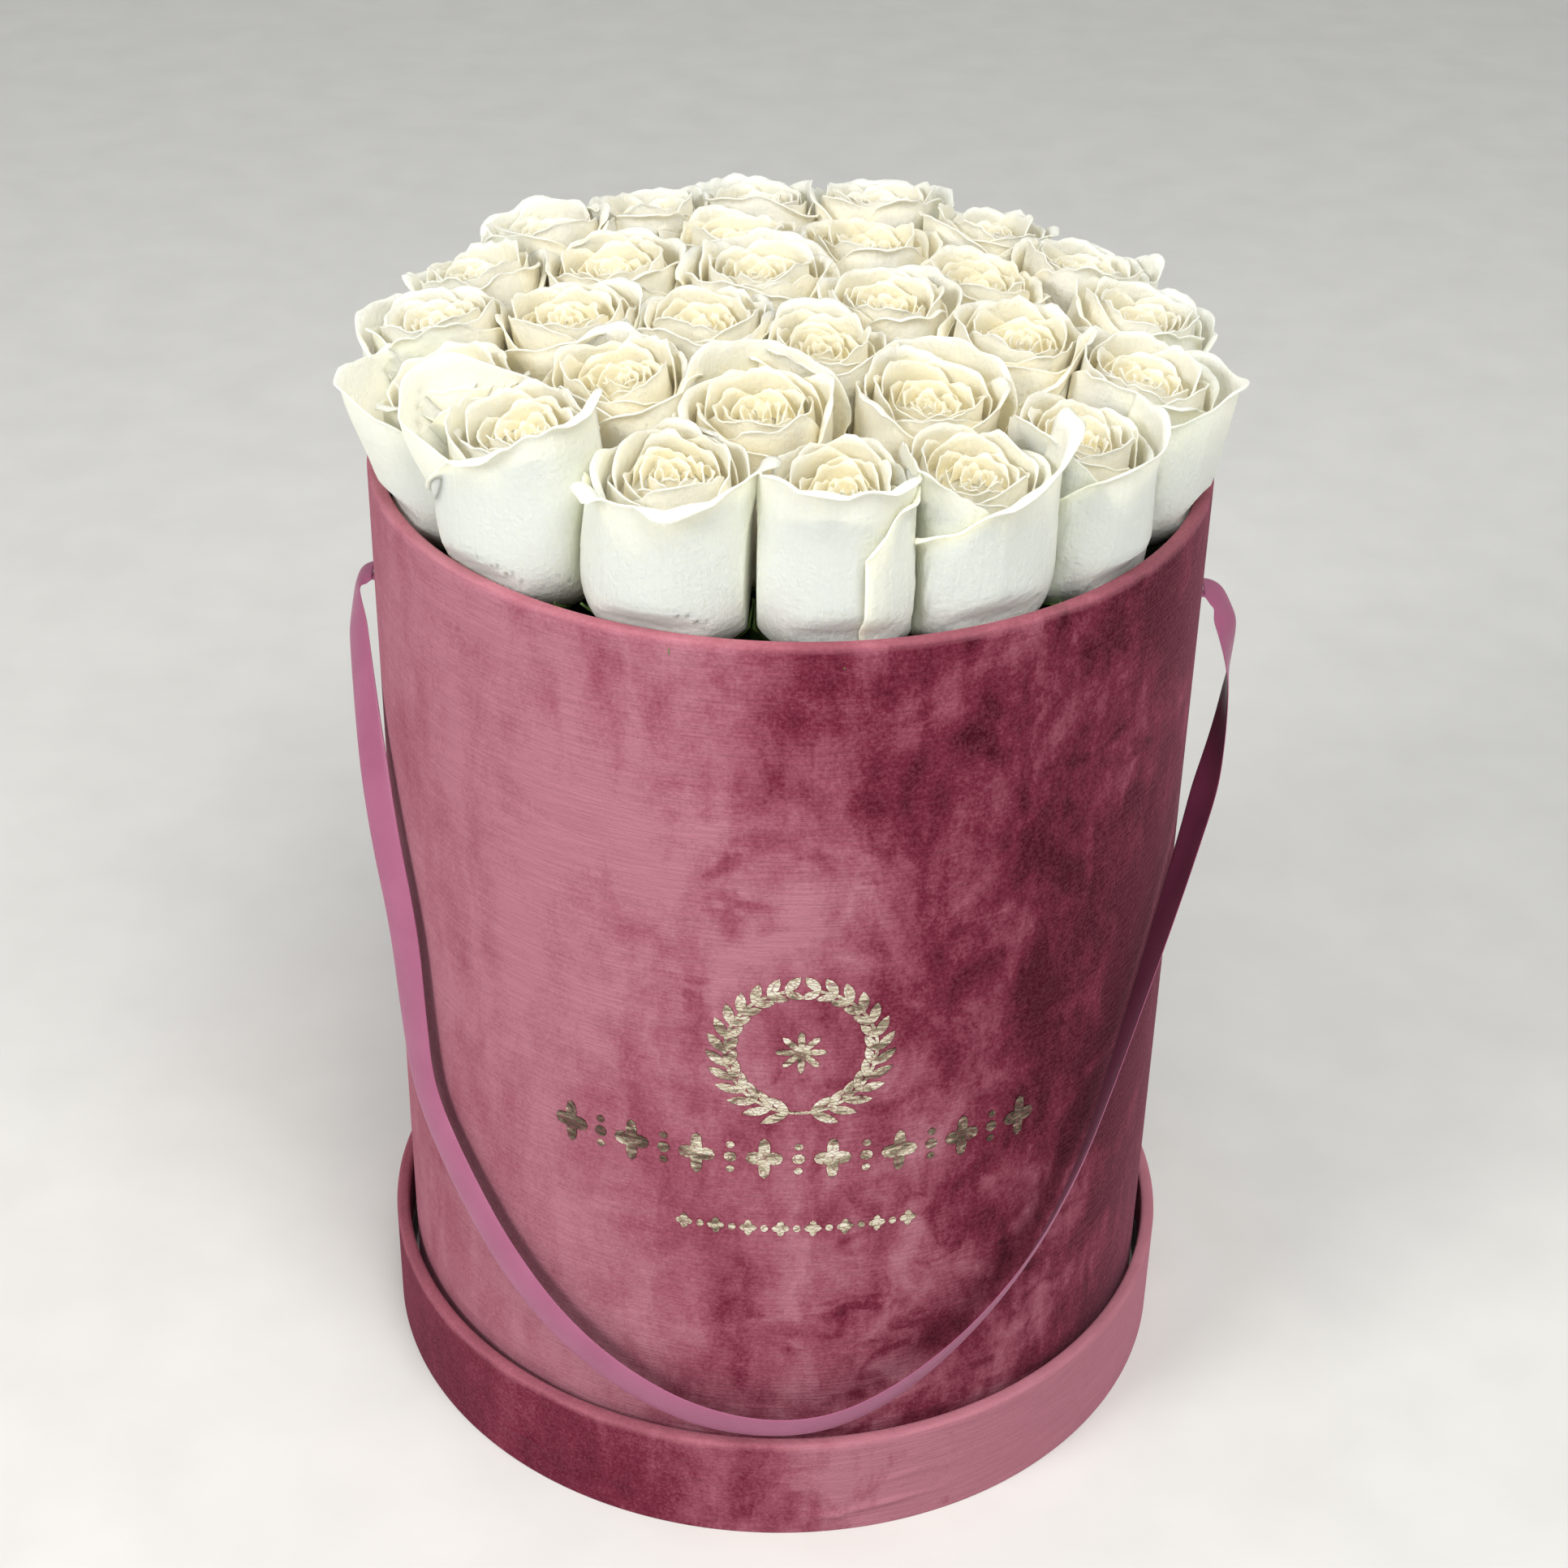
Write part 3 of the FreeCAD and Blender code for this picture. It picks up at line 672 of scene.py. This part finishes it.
def make_roses(material):
    """One mesh of petals for every bloom."""
    axes = rose_axes()
    for index, (calyx, direction) in enumerate(axes):
        rng = np.random.default_rng(500 + index)
        spin, size = rng.uniform(0, 360), rng.uniform(0.99, 1.05)
        spin, own_shapes = KNOWN_ROSES.get(index + 1, (spin, {}))
        points, faces, depth, vein = rose_points(index, spin, own_shapes)
        world = squeeze(calyx + (points * MM * size) @ tilt(direction).T, index, axes)
        # Painted glow: the low petals between the roses, away from the wall, are made creamier, for
        # light that passes from petal to petal.
        painted_glow_between_roses = 1 - smooth_step(world[:, 2], RIM_Z + 16 * MM, RIM_Z + 48 * MM)
        painted_glow_between_roses *= 1 - smooth_step(np.hypot(world[:, 0], world[:, 1]), 64 * MM, 86 * MM)
        depth = np.clip(depth + 0.9 * painted_glow_between_roses, 0, 1)
        piece = mesh_piece(f"rose_{index + 1:02d}", world, faces, material)
        piece.data.attributes.new("depth", "FLOAT", "POINT").data.foreach_set("value", depth)
        piece.data.attributes.new("vein", "FLOAT_VECTOR", "POINT").data.foreach_set(
            "vector", vein.reshape(-1)
        )
        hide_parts(f"rose_bloom_{index + 1:02d}")


# ---- velvet skins


def lathe(name, outline, material, body, columns=256, lift=None):
    """Closed skin turned about Z from a closed outline of (radius, height).

    lift gives what is added to the radius at a bearing and a height.
    """
    outline = np.array(outline)
    rows = len(outline)
    turn = np.linspace(0, 2 * math.pi, columns, endpoint=False)
    rr, aa = np.meshgrid(outline[:, 0], turn, indexing="ij")
    zz = np.repeat(outline[:, 1][:, None], columns, 1)
    if lift is not None:
        rr = rr + lift(aa, zz)
    points = around(aa, rr, zz).reshape(-1, 3)
    faces = grid_faces(rows, columns, closed=True)
    last = (rows - 1) * columns
    for j in range(columns):
        k = (j + 1) % columns
        faces.append((last + j, last + k, k, j))
    return mesh_piece(name, points, faces, material, body)


def rounded(points, radius):
    """Outline with its corners rounded."""
    result = []
    count = len(points)
    for i, point in enumerate(points):
        p = np.array(point)
        before = np.array(points[i - 1]) - p
        after = np.array(points[(i + 1) % count]) - p
        reach = min(radius, np.linalg.norm(before) * 0.45, np.linalg.norm(after) * 0.45)
        start = p + before / np.linalg.norm(before) * reach
        end = p + after / np.linalg.norm(after) * reach
        for t in np.linspace(0, 1, 5):
            result.append((1 - t) ** 2 * start + 2 * t * (1 - t) * p + t * t * end)
    return result


def subdivided(outline, step):
    """Outline with its long sides divided."""
    result = []
    count = len(outline)
    for i in range(count):
        a, b = np.array(outline[i]), np.array(outline[(i + 1) % count])
        parts = max(1, int(np.linalg.norm(b - a) / step))
        result += [a + (b - a) * k / parts for k in range(parts)]
    return result


SKIN = 0.8 * MM  # thickness of the velvet
TURN_IN = 15 * MM  # how far it runs on round an edge
CREASE_WIDTH = 0.95 * MM
CREASE_BOW = 1.2 * MM
# Creases in the velvet of the lid: bearing (deg), height, slope, half length and lift.
CREASES = (
    (15.0, 8.0 * MM, 0.10, 14 * MM, 0.80 * MM),
    (8.0, 6.5 * MM, -0.12, 6 * MM, 0.60 * MM),
    (-9.0, 18.0 * MM, -0.25, 5 * MM, 0.45 * MM),
    (20.0, 17.0 * MM, 0.05, 9 * MM, 0.45 * MM),
    (-38.0, 11.0 * MM, 0.10, 8 * MM, 0.40 * MM),
)


def lid_creases(angle, height):
    """Lift of the lid's velvet where it is creased."""
    lift = np.zeros_like(angle)
    for bearing, level, slope, length, rise in CREASES:
        turn = (angle - math.radians(bearing) + math.pi) % (2 * math.pi) - math.pi
        along = turn * TRAY_R
        bow = CREASE_BOW * (along / length) ** 2
        across = (height - level - slope * along + bow) / CREASE_WIDTH
        ridge = (1 - 0.9 * across) * np.exp(-(across ** 2))
        lift += rise * np.exp(-((along / length) ** 2)) * ridge
    return lift


def make_velvet():
    """Velvet skins of the box wall and of the lid's rim."""
    # Painted shading: the box wall is lighter on the left and darker to the right and at the far
    # right.
    material = velvet_material("velvet_box", RIM_Z, 0.615, 0.365, -0.055)
    wall = [
        (BOX_R - TURN_IN, BOX_BOTTOM),
        (BOX_R, BOX_BOTTOM),
        (BOX_R, RIM_Z),
        (BOX_R - 3.5 * MM, RIM_Z),
        (BOX_R - 3.5 * MM, RIM_Z - TURN_IN),
        (BOX_R - 3.0 * MM, RIM_Z - TURN_IN),
        (BOX_R - 3.0 * MM, RIM_Z - SKIN),
        (BOX_R - SKIN, RIM_Z - SKIN),
        (BOX_R - SKIN, BOX_BOTTOM + SKIN),
        (BOX_R - TURN_IN, BOX_BOTTOM + SKIN),
    ]
    outline = subdivided(rounded(wall, 1.3 * MM), 2.5 * MM)
    piece = lathe("velvet_wall", outline, material, "box")
    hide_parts("wall_velvet")
    # Painted shading: the lid is darker on the left and lighter to the right.
    material = velvet_material("velvet_lid", TRAY_TOP, 0.445, 0.85, 0.03)
    bore = TRAY_R - 3.5 * MM
    rim = [
        (TRAY_R - SKIN, 0.0),
        (TRAY_R, 0.0),
        (TRAY_R, TRAY_TOP),
        (bore, TRAY_TOP),
        (bore, TRAY_TOP - TURN_IN),
        (bore + 0.5 * MM, TRAY_TOP - TURN_IN),
        (bore + 0.5 * MM, TRAY_TOP - SKIN),
        (TRAY_R - SKIN, TRAY_TOP - SKIN),
    ]
    outline = subdivided(rounded(rim, 1.3 * MM), 0.6 * MM)
    piece = lathe("velvet_lid_rim", outline, material, "lid_tray", 400, lid_creases)
    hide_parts("lid_rim_velvet")
    nodes["lid_top_velvet"].material_slots[0].material = material


# ---- sepals


def make_sepals():
    """Rose hips under the buds with their five sepals, all in one piece."""
    material = plain_material("leaf", (0.055, 0.11, 0.020), (0.12, 0.20, 0.045), 260.0, 0.55)
    axes = rose_axes()
    sides, foot, top = 20, -7.0, BASE_LEVEL + 1.5
    ring = np.linspace(0, 2 * math.pi, sides, endpoint=False)
    levels, ring = np.meshgrid(np.linspace(foot, top, 14), ring, indexing="ij")
    height = (levels - foot) / (top - foot)
    swell = np.sin(np.clip(height, 0, 1) * math.pi) ** 0.8
    body = around(ring, 2.7 + 2.6 * swell * (0.4 + 0.6 * height), levels).reshape(-1, 3)
    skin = grid_faces(len(levels), sides, closed=True)
    skin.append(tuple(reversed(range(sides))))
    skin.append(tuple(range(len(body) - sides, len(body))))
    v, u = np.linspace(0, 1, 12), np.linspace(-1, 1, 5)
    parts = []
    for index, (calyx, direction) in enumerate(axes):
        rng = np.random.default_rng(900 + index)
        green = [(body, skin)]
        for k in range(5):
            width = 3.4 * np.sin(np.clip(v * 1.05 + 0.12, 0, 1) * math.pi) ** 0.8 + 0.12
            along = BASE_LEVEL - 0.5 + v * rng.uniform(12, 17)
            tip = rng.uniform(0.5, 3.5) * smooth_step(v, 0.6, 1.0)
            radius = family(0, along) + 0.9 + tip
            bearing = 2 * math.pi * k / 5 + rng.uniform(-0.2, 0.2)
            angle = bearing + np.outer(width / np.maximum(radius, 3.5), u)
            blade = around(angle, radius[:, None], np.repeat(along[:, None], len(u), 1))
            green.append(shell(blade, 0.5))
        for made, faces in green:
            world = calyx + (made * MM) @ tilt(direction).T
            parts.append((squeeze(world, index, axes, SEPAL_ROOM), faces))
    piece = mesh_piece("sepals", *merged(parts), material)
    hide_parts("rose_hips")


# ---- ribbon


# The ribbon's route from the left slot round the front to the right one: bearing (deg),
# distance from the axis and height (mm).
RIBBON_ROUTE = (
    (-90.0, 101.3, 218.0), (-90.0, 104.8, 216.8), (-88.5, 105.8, 211.0),
    (-83.0, 104.6, 201.0), (-74.0, 104.3, 187.0), (-67.0, 104.8, 168.0),
    (-61.5, 104.3, 146.0), (-60.0, 104.3, 122.0), (-58.0, 104.3, 101.0),
    (-49.0, 104.6, 86.0), (-39.0, 105.0, 68.0), (-28.0, 105.6, 53.0),
    (-16.0, 106.0, 42.5), (-5.0, 106.2, 37.4), (6.0, 106.2, 37.2),
    (16.0, 106.0, 44.5), (27.0, 105.6, 58.5), (37.0, 105.0, 75.0),
    (45.0, 104.6, 95.0), (51.0, 104.4, 117.0), (57.5, 104.4, 139.0),
    (66.0, 104.8, 160.0), (76.0, 106.8, 180.0), (84.0, 108.6, 198.0),
    (88.5, 107.6, 211.0), (90.0, 105.0, 216.8), (90.0, 101.3, 218.0),
)
RIBBON_WIDTH = 10 * MM
RIBBON_THICKNESS = 0.45 * MM
# How far the ribbon is turned about its own line (deg), by the share of its length.
RIBBON_TWIST = (
    (0.0, 0.03, 0.10, 0.25, 0.36, 0.50, 0.62, 0.75, 0.84, 0.90, 0.95, 0.98, 1.0),
    (0, -30, -35, -14, -2, 22, 32, 40, 44, 46, 4, -42, 0),
)


def ribbon_line():
    """Points along the smooth line that the ribbon's route controls."""
    data = bpy.data.curves.new("ribbon_line", "CURVE")
    data.dimensions = "3D"
    spline = data.splines.new("NURBS")
    spline.points.add(len(RIBBON_ROUTE) - 1)
    for point, (bearing, radius, height) in zip(spline.points, RIBBON_ROUTE):
        turn = math.radians(bearing)
        point.co = (radius * math.sin(turn) * MM, -radius * math.cos(turn) * MM, height * MM, 1)
    spline.order_u = 3
    spline.use_endpoint_u = True
    spline.resolution_u = 14
    line = bpy.data.objects.new("ribbon_line", data)
    bpy.context.scene.collection.objects.link(line)
    mesh = bpy.data.meshes.new_from_object(line)
    points = np.array([tuple(v.co) for v in mesh.vertices])
    bpy.data.objects.remove(line)
    return points


def strip(line, normal, width, thickness, columns=13, cup=0.0):
    """Flat band along a line: points, faces and which points are on the outer face.

    The band's faces look along normal, and its edges are rounded; cup is how far its middle
    stands out.
    """
    ahead = unit(np.gradient(line, axis=0))
    normal = unit(square_to(normal, ahead))
    across = np.cross(normal, ahead)
    x = np.sin(np.linspace(-1, 1, columns) * math.pi / 2)
    rise = thickness / 2 * np.sqrt(np.clip(1 - x ** 8, 0, 1))
    crown = cup * (1 - x ** 2)
    outer = np.stack([x * width / 2, rise + crown], 1)
    inner = np.stack([x * width / 2, crown - rise], 1)
    outline = np.concatenate([outer, inner[-2:0:-1]])
    points = (
        line[:, None]
        + across[:, None] * outline[None, :, :1]
        + normal[:, None] * outline[None, :, 1:]
    )
    count = len(outline)
    faces = grid_faces(len(line), count, closed=True)
    faces.append(tuple(reversed(range(count))))
    faces.append(tuple(range((len(line) - 1) * count, len(line) * count)))
    face = np.array([1.0] * columns + [0.0] * (columns - 2))
    return points.reshape(-1, 3), faces, np.tile(face, len(line))


def band_piece(name, bands, material, body):
    """One mesh of several bands, with the outer face marked for the material."""
    piece = mesh_piece(name, *merged(band[:2] for band in bands), material, body)
    marks = np.concatenate([band[2] for band in bands])
    piece.data.attributes.new("face", "FLOAT", "POINT").data.foreach_set("value", marks)
    return piece


def make_ribbon(material):
    """The ribbon's loop as a free flat cord, and its two ends knotted behind the wall."""
    line = ribbon_line()
    step = np.linalg.norm(np.diff(line, axis=0), axis=1)
    share = np.concatenate([[0], np.cumsum(step)]) / step.sum()
    ahead = unit(np.gradient(line, axis=0))
    outward = unit(line * (1, 1, 0))
    # The ribbon faces outward, but upward where it comes straight out of a slot.
    level = np.einsum("ij,ij->i", ahead, outward)[:, None] ** 2
    flat = unit(square_to(outward * (1 - level) + np.array([[0, 0, 1.0]]) * level, ahead))
    across = np.cross(flat, ahead)
    twist = np.radians(np.interp(share, *RIBBON_TWIST))
    for _ in range(6):
        twist[1:-1] = (twist[:-2] + 2 * twist[1:-1] + twist[2:]) / 4
    normal = flat * np.cos(twist)[:, None] - across * np.sin(twist)[:, None]
    band = strip(line, normal, RIBBON_WIDTH, RIBBON_THICKNESS, cup=0.5 * MM)
    piece = band_piece("ribbon", [band], material, None)
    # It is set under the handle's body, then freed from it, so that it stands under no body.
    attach(piece, "handle")
    piece.parent = None
    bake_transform(piece)
    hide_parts("ribbon_handle")
    bands = []
    for side, node in ((-1, "ribbon_end_left"), (1, "ribbon_end_right")):
        low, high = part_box(node)
        mouth = line[0] if side < 0 else line[-1]
        inner = side * (min(abs(low.x), abs(high.x)) + 4 * MM)
        through = np.linspace(mouth, (inner, 0, mouth[2]), 8)
        up = np.tile((0, 0, 1.0), (8, 1))
        bands.append(strip(through, up, RIBBON_WIDTH, RIBBON_THICKNESS))
        turn = np.linspace(0, 2 * math.pi, 72)
        knot = np.stack(
            [
                0.8 * MM * np.sin(3 * turn) + inner,
                1.35 * MM * (np.sin(turn) + 2 * np.sin(2 * turn)),
                0.75 * MM * (np.cos(turn) - 2 * np.cos(2 * turn)) + mouth[2],
            ],
            -1,
        )
        away = knot - np.array([inner, 0, mouth[2]])
        bands.append(strip(knot, away + (1e-5, 0, 0), 4.0 * MM, 0.5 * MM, columns=7))
    piece = band_piece("ribbon_knots", bands, material, "box")
    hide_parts("ribbon_end_left", "ribbon_end_right")


# ---- foil ornament


# Sizes and places of the foil in mm on the unrolled wall, with the depths of its two faces.
FOIL_DEPTHS = (0.22, -0.10)
FOIL_MIDDLE = 0.052 * BOX_R / MM
WREATH_HEIGHT, WREATH_RADIUS = 149.5, 17.5
BROAD_ROW_HEIGHT, BROAD_ROW_HALF = 118.3, 56.0
SMALL_ROW_HEIGHT, SMALL_ROW_HALF = 97.0, 27.0


def leaf_outline(place, heading, length, width):
    """Pointed leaf that starts at a place; lengths in mm on the unrolled wall."""
    t = np.linspace(0, 1, 6)
    half = width / 2 * np.sin(t * math.pi) ** 0.75
    along = np.concatenate([t * length, t[-2:0:-1] * length])
    side = np.concatenate([half, -half[-2:0:-1]])
    cos, sin = math.cos(heading), math.sin(heading)
    return [
        (place[0] + a * cos - b * sin, place[1] + a * sin + b * cos) for a, b in zip(along, side)
    ]


def star_outline(place, wide, tall, waist=1.0, points=4, steps=16):
    """Lozenge, dot or star round a place: waist 1 gives an ellipse, less draws the sides in."""
    result = []
    for i in range(steps):
        turn = 2 * math.pi * i / steps
        draw = waist + (1 - waist) * abs(math.cos(turn * points / 2)) ** 1.5
        x = wide / 2 * draw * math.cos(turn)
        result.append((place[0] + x, place[1] + tall / 2 * draw * math.sin(turn)))
    return result


def foil_patch(outline):
    """Closed thin patch of foil over an outline on the wall, sunk a little into the pile."""
    outline = np.array(outline)
    centre = outline.mean(0)
    rings = [outline, centre + (outline - centre) * 0.5, centre[None]]
    points = []
    for depth in FOIL_DEPTHS:
        for ring in rings:
            for s, z in ring:
                turn = s * MM / BOX_R
                radius = BOX_R + depth * MM
                points.append((radius * math.sin(turn), -radius * math.cos(turn), z * MM))
    count, layer = len(outline), 2 * len(outline) + 1
    faces = []
    for j in range(count):
        k = (j + 1) % count
        faces += [
            (j, k, count + k, count + j),
            (count + j, count + k, 2 * count),
            (layer + k, layer + j, layer + count + j, layer + count + k),
            (layer + count + k, layer + count + j, layer + 2 * count),
            (k, j, layer + j, layer + k),
        ]
    return points, faces


def wreath_outlines(emblem):
    """Two sprigs of leaves, berries and a stem round a place, with a star in the middle."""
    outlines = []
    for side in (-1, 1):
        for k in range(13):
            turn = math.radians(-82 + 13.2 * k)
            x, z = side * WREATH_RADIUS * math.cos(turn), WREATH_RADIUS * math.sin(turn)
            heading = math.atan2(math.cos(turn), -side * math.sin(turn))
            place = (emblem[0] + x, emblem[1] + z)
            size = 7.4 - 0.16 * k
            outlines.append(leaf_outline(place, heading - side * 0.62, size, 2.5))
            outlines.append(leaf_outline(place, heading + side * 0.62, size * 0.86, 2.2))
            if k % 2:
                berry = (emblem[0] + x * 0.90, emblem[1] + z * 0.90)
                outlines.append(star_outline(berry, 1.3, 1.3, steps=10))
        stem_turn = np.radians(np.linspace(-92, 82, 40))
        low, high = WREATH_RADIUS - 0.4, WREATH_RADIUS + 0.4
        for a, b in zip(stem_turn[:-1], stem_turn[1:]):
            quad = []
            for angle, radius in ((a, low), (b, low), (b, high), (a, high)):
                x, z = side * radius * math.cos(angle), radius * math.sin(angle)
                quad.append((emblem[0] + x, emblem[1] + z))
            outlines.append(quad if side > 0 else quad[::-1])
    outlines.append(star_outline(emblem, 12.0, 12.0, waist=0.28, points=8, steps=48))
    return outlines


def make_foil():
    """Wreath of two sprigs over a broad row of lozenges and dots and a small row under it."""
    outlines = wreath_outlines((FOIL_MIDDLE, WREATH_HEIGHT))
    for k, s in enumerate(np.linspace(-BROAD_ROW_HALF, BROAD_ROW_HALF, 15)):
        place = (FOIL_MIDDLE + s, BROAD_ROW_HEIGHT)
        if k % 2 == 0:
            outlines.append(star_outline(place, 8.8, 12.0, waist=0.42, steps=24))
        else:
            for lift, size in ((3.6, 2.0), (0.0, 3.0), (-3.6, 2.0)):
                outlines.append(star_outline((place[0], place[1] + lift), size, size, steps=12))
    for k, s in enumerate(np.linspace(-SMALL_ROW_HALF, SMALL_ROW_HALF, 15)):
        size, waist = (4.2, 0.6) if k % 2 == 0 else (1.8, 1.0)
        place = (FOIL_MIDDLE + s, SMALL_ROW_HEIGHT)
        outlines.append(star_outline(place, size, size * 1.15, waist=waist))
    points, faces = merged(foil_patch(outline) for outline in outlines)
    piece = mesh_piece("foil_wreath_and_rows", points, faces, foil_material(), smooth=False)
    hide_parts("foil_ornament")


# ---- pieces kept from the CAD model


def dress_nodes():
    """Materials of the boards, papers, pot, foam and stems."""
    board = plain_material("greyboard", (0.30, 0.29, 0.27), (0.42, 0.40, 0.37), 420.0, 0.9)
    paper = plain_material("lining_paper", (0.70, 0.69, 0.66), (0.78, 0.77, 0.74), 700.0, 0.75)
    foam = plain_material("wet_foam", (0.030, 0.105, 0.040), (0.06, 0.17, 0.07), 1500.0, 0.95, 0.9)
    stem = plain_material(
        "stem_skin", (0.06, 0.12, 0.025), (0.13, 0.21, 0.05), 300.0, 0.5, 0.3, (1, 1, 0.15)
    )
    plastic = plain_material(
        "clear_plastic", (0.86, 0.90, 0.90), (0.92, 0.95, 0.95), 60.0, 0.14, 0.05,
        Transmission_Weight=0.9, IOR=1.46,
    )
    finishes = (
        (board, ("lid_top_board", "lid_rim_board", "wall_board", "base_board")),
        (paper, ("lid_lining", "inner_lining", "base_paper")),
        (foam, ("floral_foam",)),
        (stem, ("rose_stems",)),
        (plastic, ("liner_pot",)),
    )
    for material, names in finishes:
        for name in names:
            nodes[name].material_slots[0].material = material


# ---- camera, stage and lights


CAMERA_PLACE = (0, -0.6094, 0.5416)
CAMERA_LENS, CAMERA_SENSOR = 64.6, 36
# Softboxes: name, place, target, size, power and colour.
LIGHTS = (
    ("key", (-1.3, -1.1, 1.1), (0, 0, 0.15), 0.8, 23, (1.0, 0.99, 0.95)),
    ("top", (0.3, -0.85, 1.5), (0, 0, 0.2), 0.9, 20, (1.0, 1.0, 0.96)),
    ("fill", (1.3, -1.2, 0.9), (0, 0, 0.15), 1.0, 3.5, (1.0, 1.0, 0.97)),
)
SKY_COLOUR, SKY_STRENGTH = (0.98, 0.99, 0.98, 1), 0.45
# The backdrop's floor from near to far, the radius of its curve and its height.
FLOOR_NEAR, FLOOR_FAR, FLOOR_HALF = -3.0, 1.6, 6.0
CURVE, BACKDROP_TOP = 1.2, 5.0


def make_camera():
    """Camera above and in front, looking down at the box."""
    pitch, roll = math.radians(32.142), math.radians(1.185)
    ahead = Vector((0, math.cos(pitch), -math.sin(pitch)))
    level_up = Vector((0, math.sin(pitch), math.cos(pitch)))
    level_right = Vector((1, 0, 0))
    right = math.cos(roll) * level_right + math.sin(roll) * level_up
    up = -math.sin(roll) * level_right + math.cos(roll) * level_up
    camera = bpy.data.objects.new("camera", bpy.data.cameras.new("camera"))
    camera.data.lens = CAMERA_LENS
    camera.data.sensor_width = CAMERA_SENSOR
    place = Matrix((right, up, -ahead)).transposed().to_4x4()
    place.translation = Vector(CAMERA_PLACE)
    camera.matrix_world = place
    bpy.context.scene.collection.objects.link(camera)
    bpy.context.scene.camera = camera


def area_light(name, place, target, size, power, colour):
    """Softbox at a place, facing a target."""
    data = bpy.data.lights.new(name, "AREA")
    data.shape = "DISK"
    data.size = size
    data.energy = power
    data.color = colour
    light = bpy.data.objects.new(name, data)
    light.location = place
    light.rotation_euler = (Vector(target) - Vector(place)).to_track_quat("-Z", "Y").to_euler()
    bpy.context.scene.collection.objects.link(light)


def make_stage():
    """Pale floor curving up into a backdrop, soft sky light and softboxes."""
    floor = Shader("stage_floor", Roughness=0.8)
    grain = floor.noise(floor.place(), 30.0, 3.0)
    pale = floor.ramp(grain, (0.3, (0.66, 0.655, 0.645)), (0.7, (0.70, 0.695, 0.685)))
    floor.link(pale, "Base Color")
    profile = [(FLOOR_NEAR, 0.0), (FLOOR_FAR, 0.0)]
    for i in range(1, 13):
        turn = math.pi / 2 * i / 12
        profile.append((FLOOR_FAR + CURVE * math.sin(turn), CURVE - CURVE * math.cos(turn)))
    profile.append((FLOOR_FAR + CURVE, BACKDROP_TOP))
    points = []
    for y, z in profile:
        points += [(-FLOOR_HALF, y, z), (FLOOR_HALF, y, z)]
    sweep = mesh_piece("backdrop", points, grid_faces(len(profile), 2), floor.material, body=None)
    world = bpy.data.worlds.new("studio")
    world.use_nodes = True
    sky = world.node_tree.nodes["Background"].inputs
    sky["Color"].default_value = SKY_COLOUR
    sky["Strength"].default_value = SKY_STRENGTH
    bpy.context.scene.world = world
    for light in LIGHTS:
        area_light(*light)


# ---- assembly

bpy.context.scene.view_settings.view_transform = "Standard"
make_camera()
make_stage()
make_ribbon(satin_material())
make_roses(petal_material())
make_sepals()
make_velvet()
make_foil()
dress_nodes()
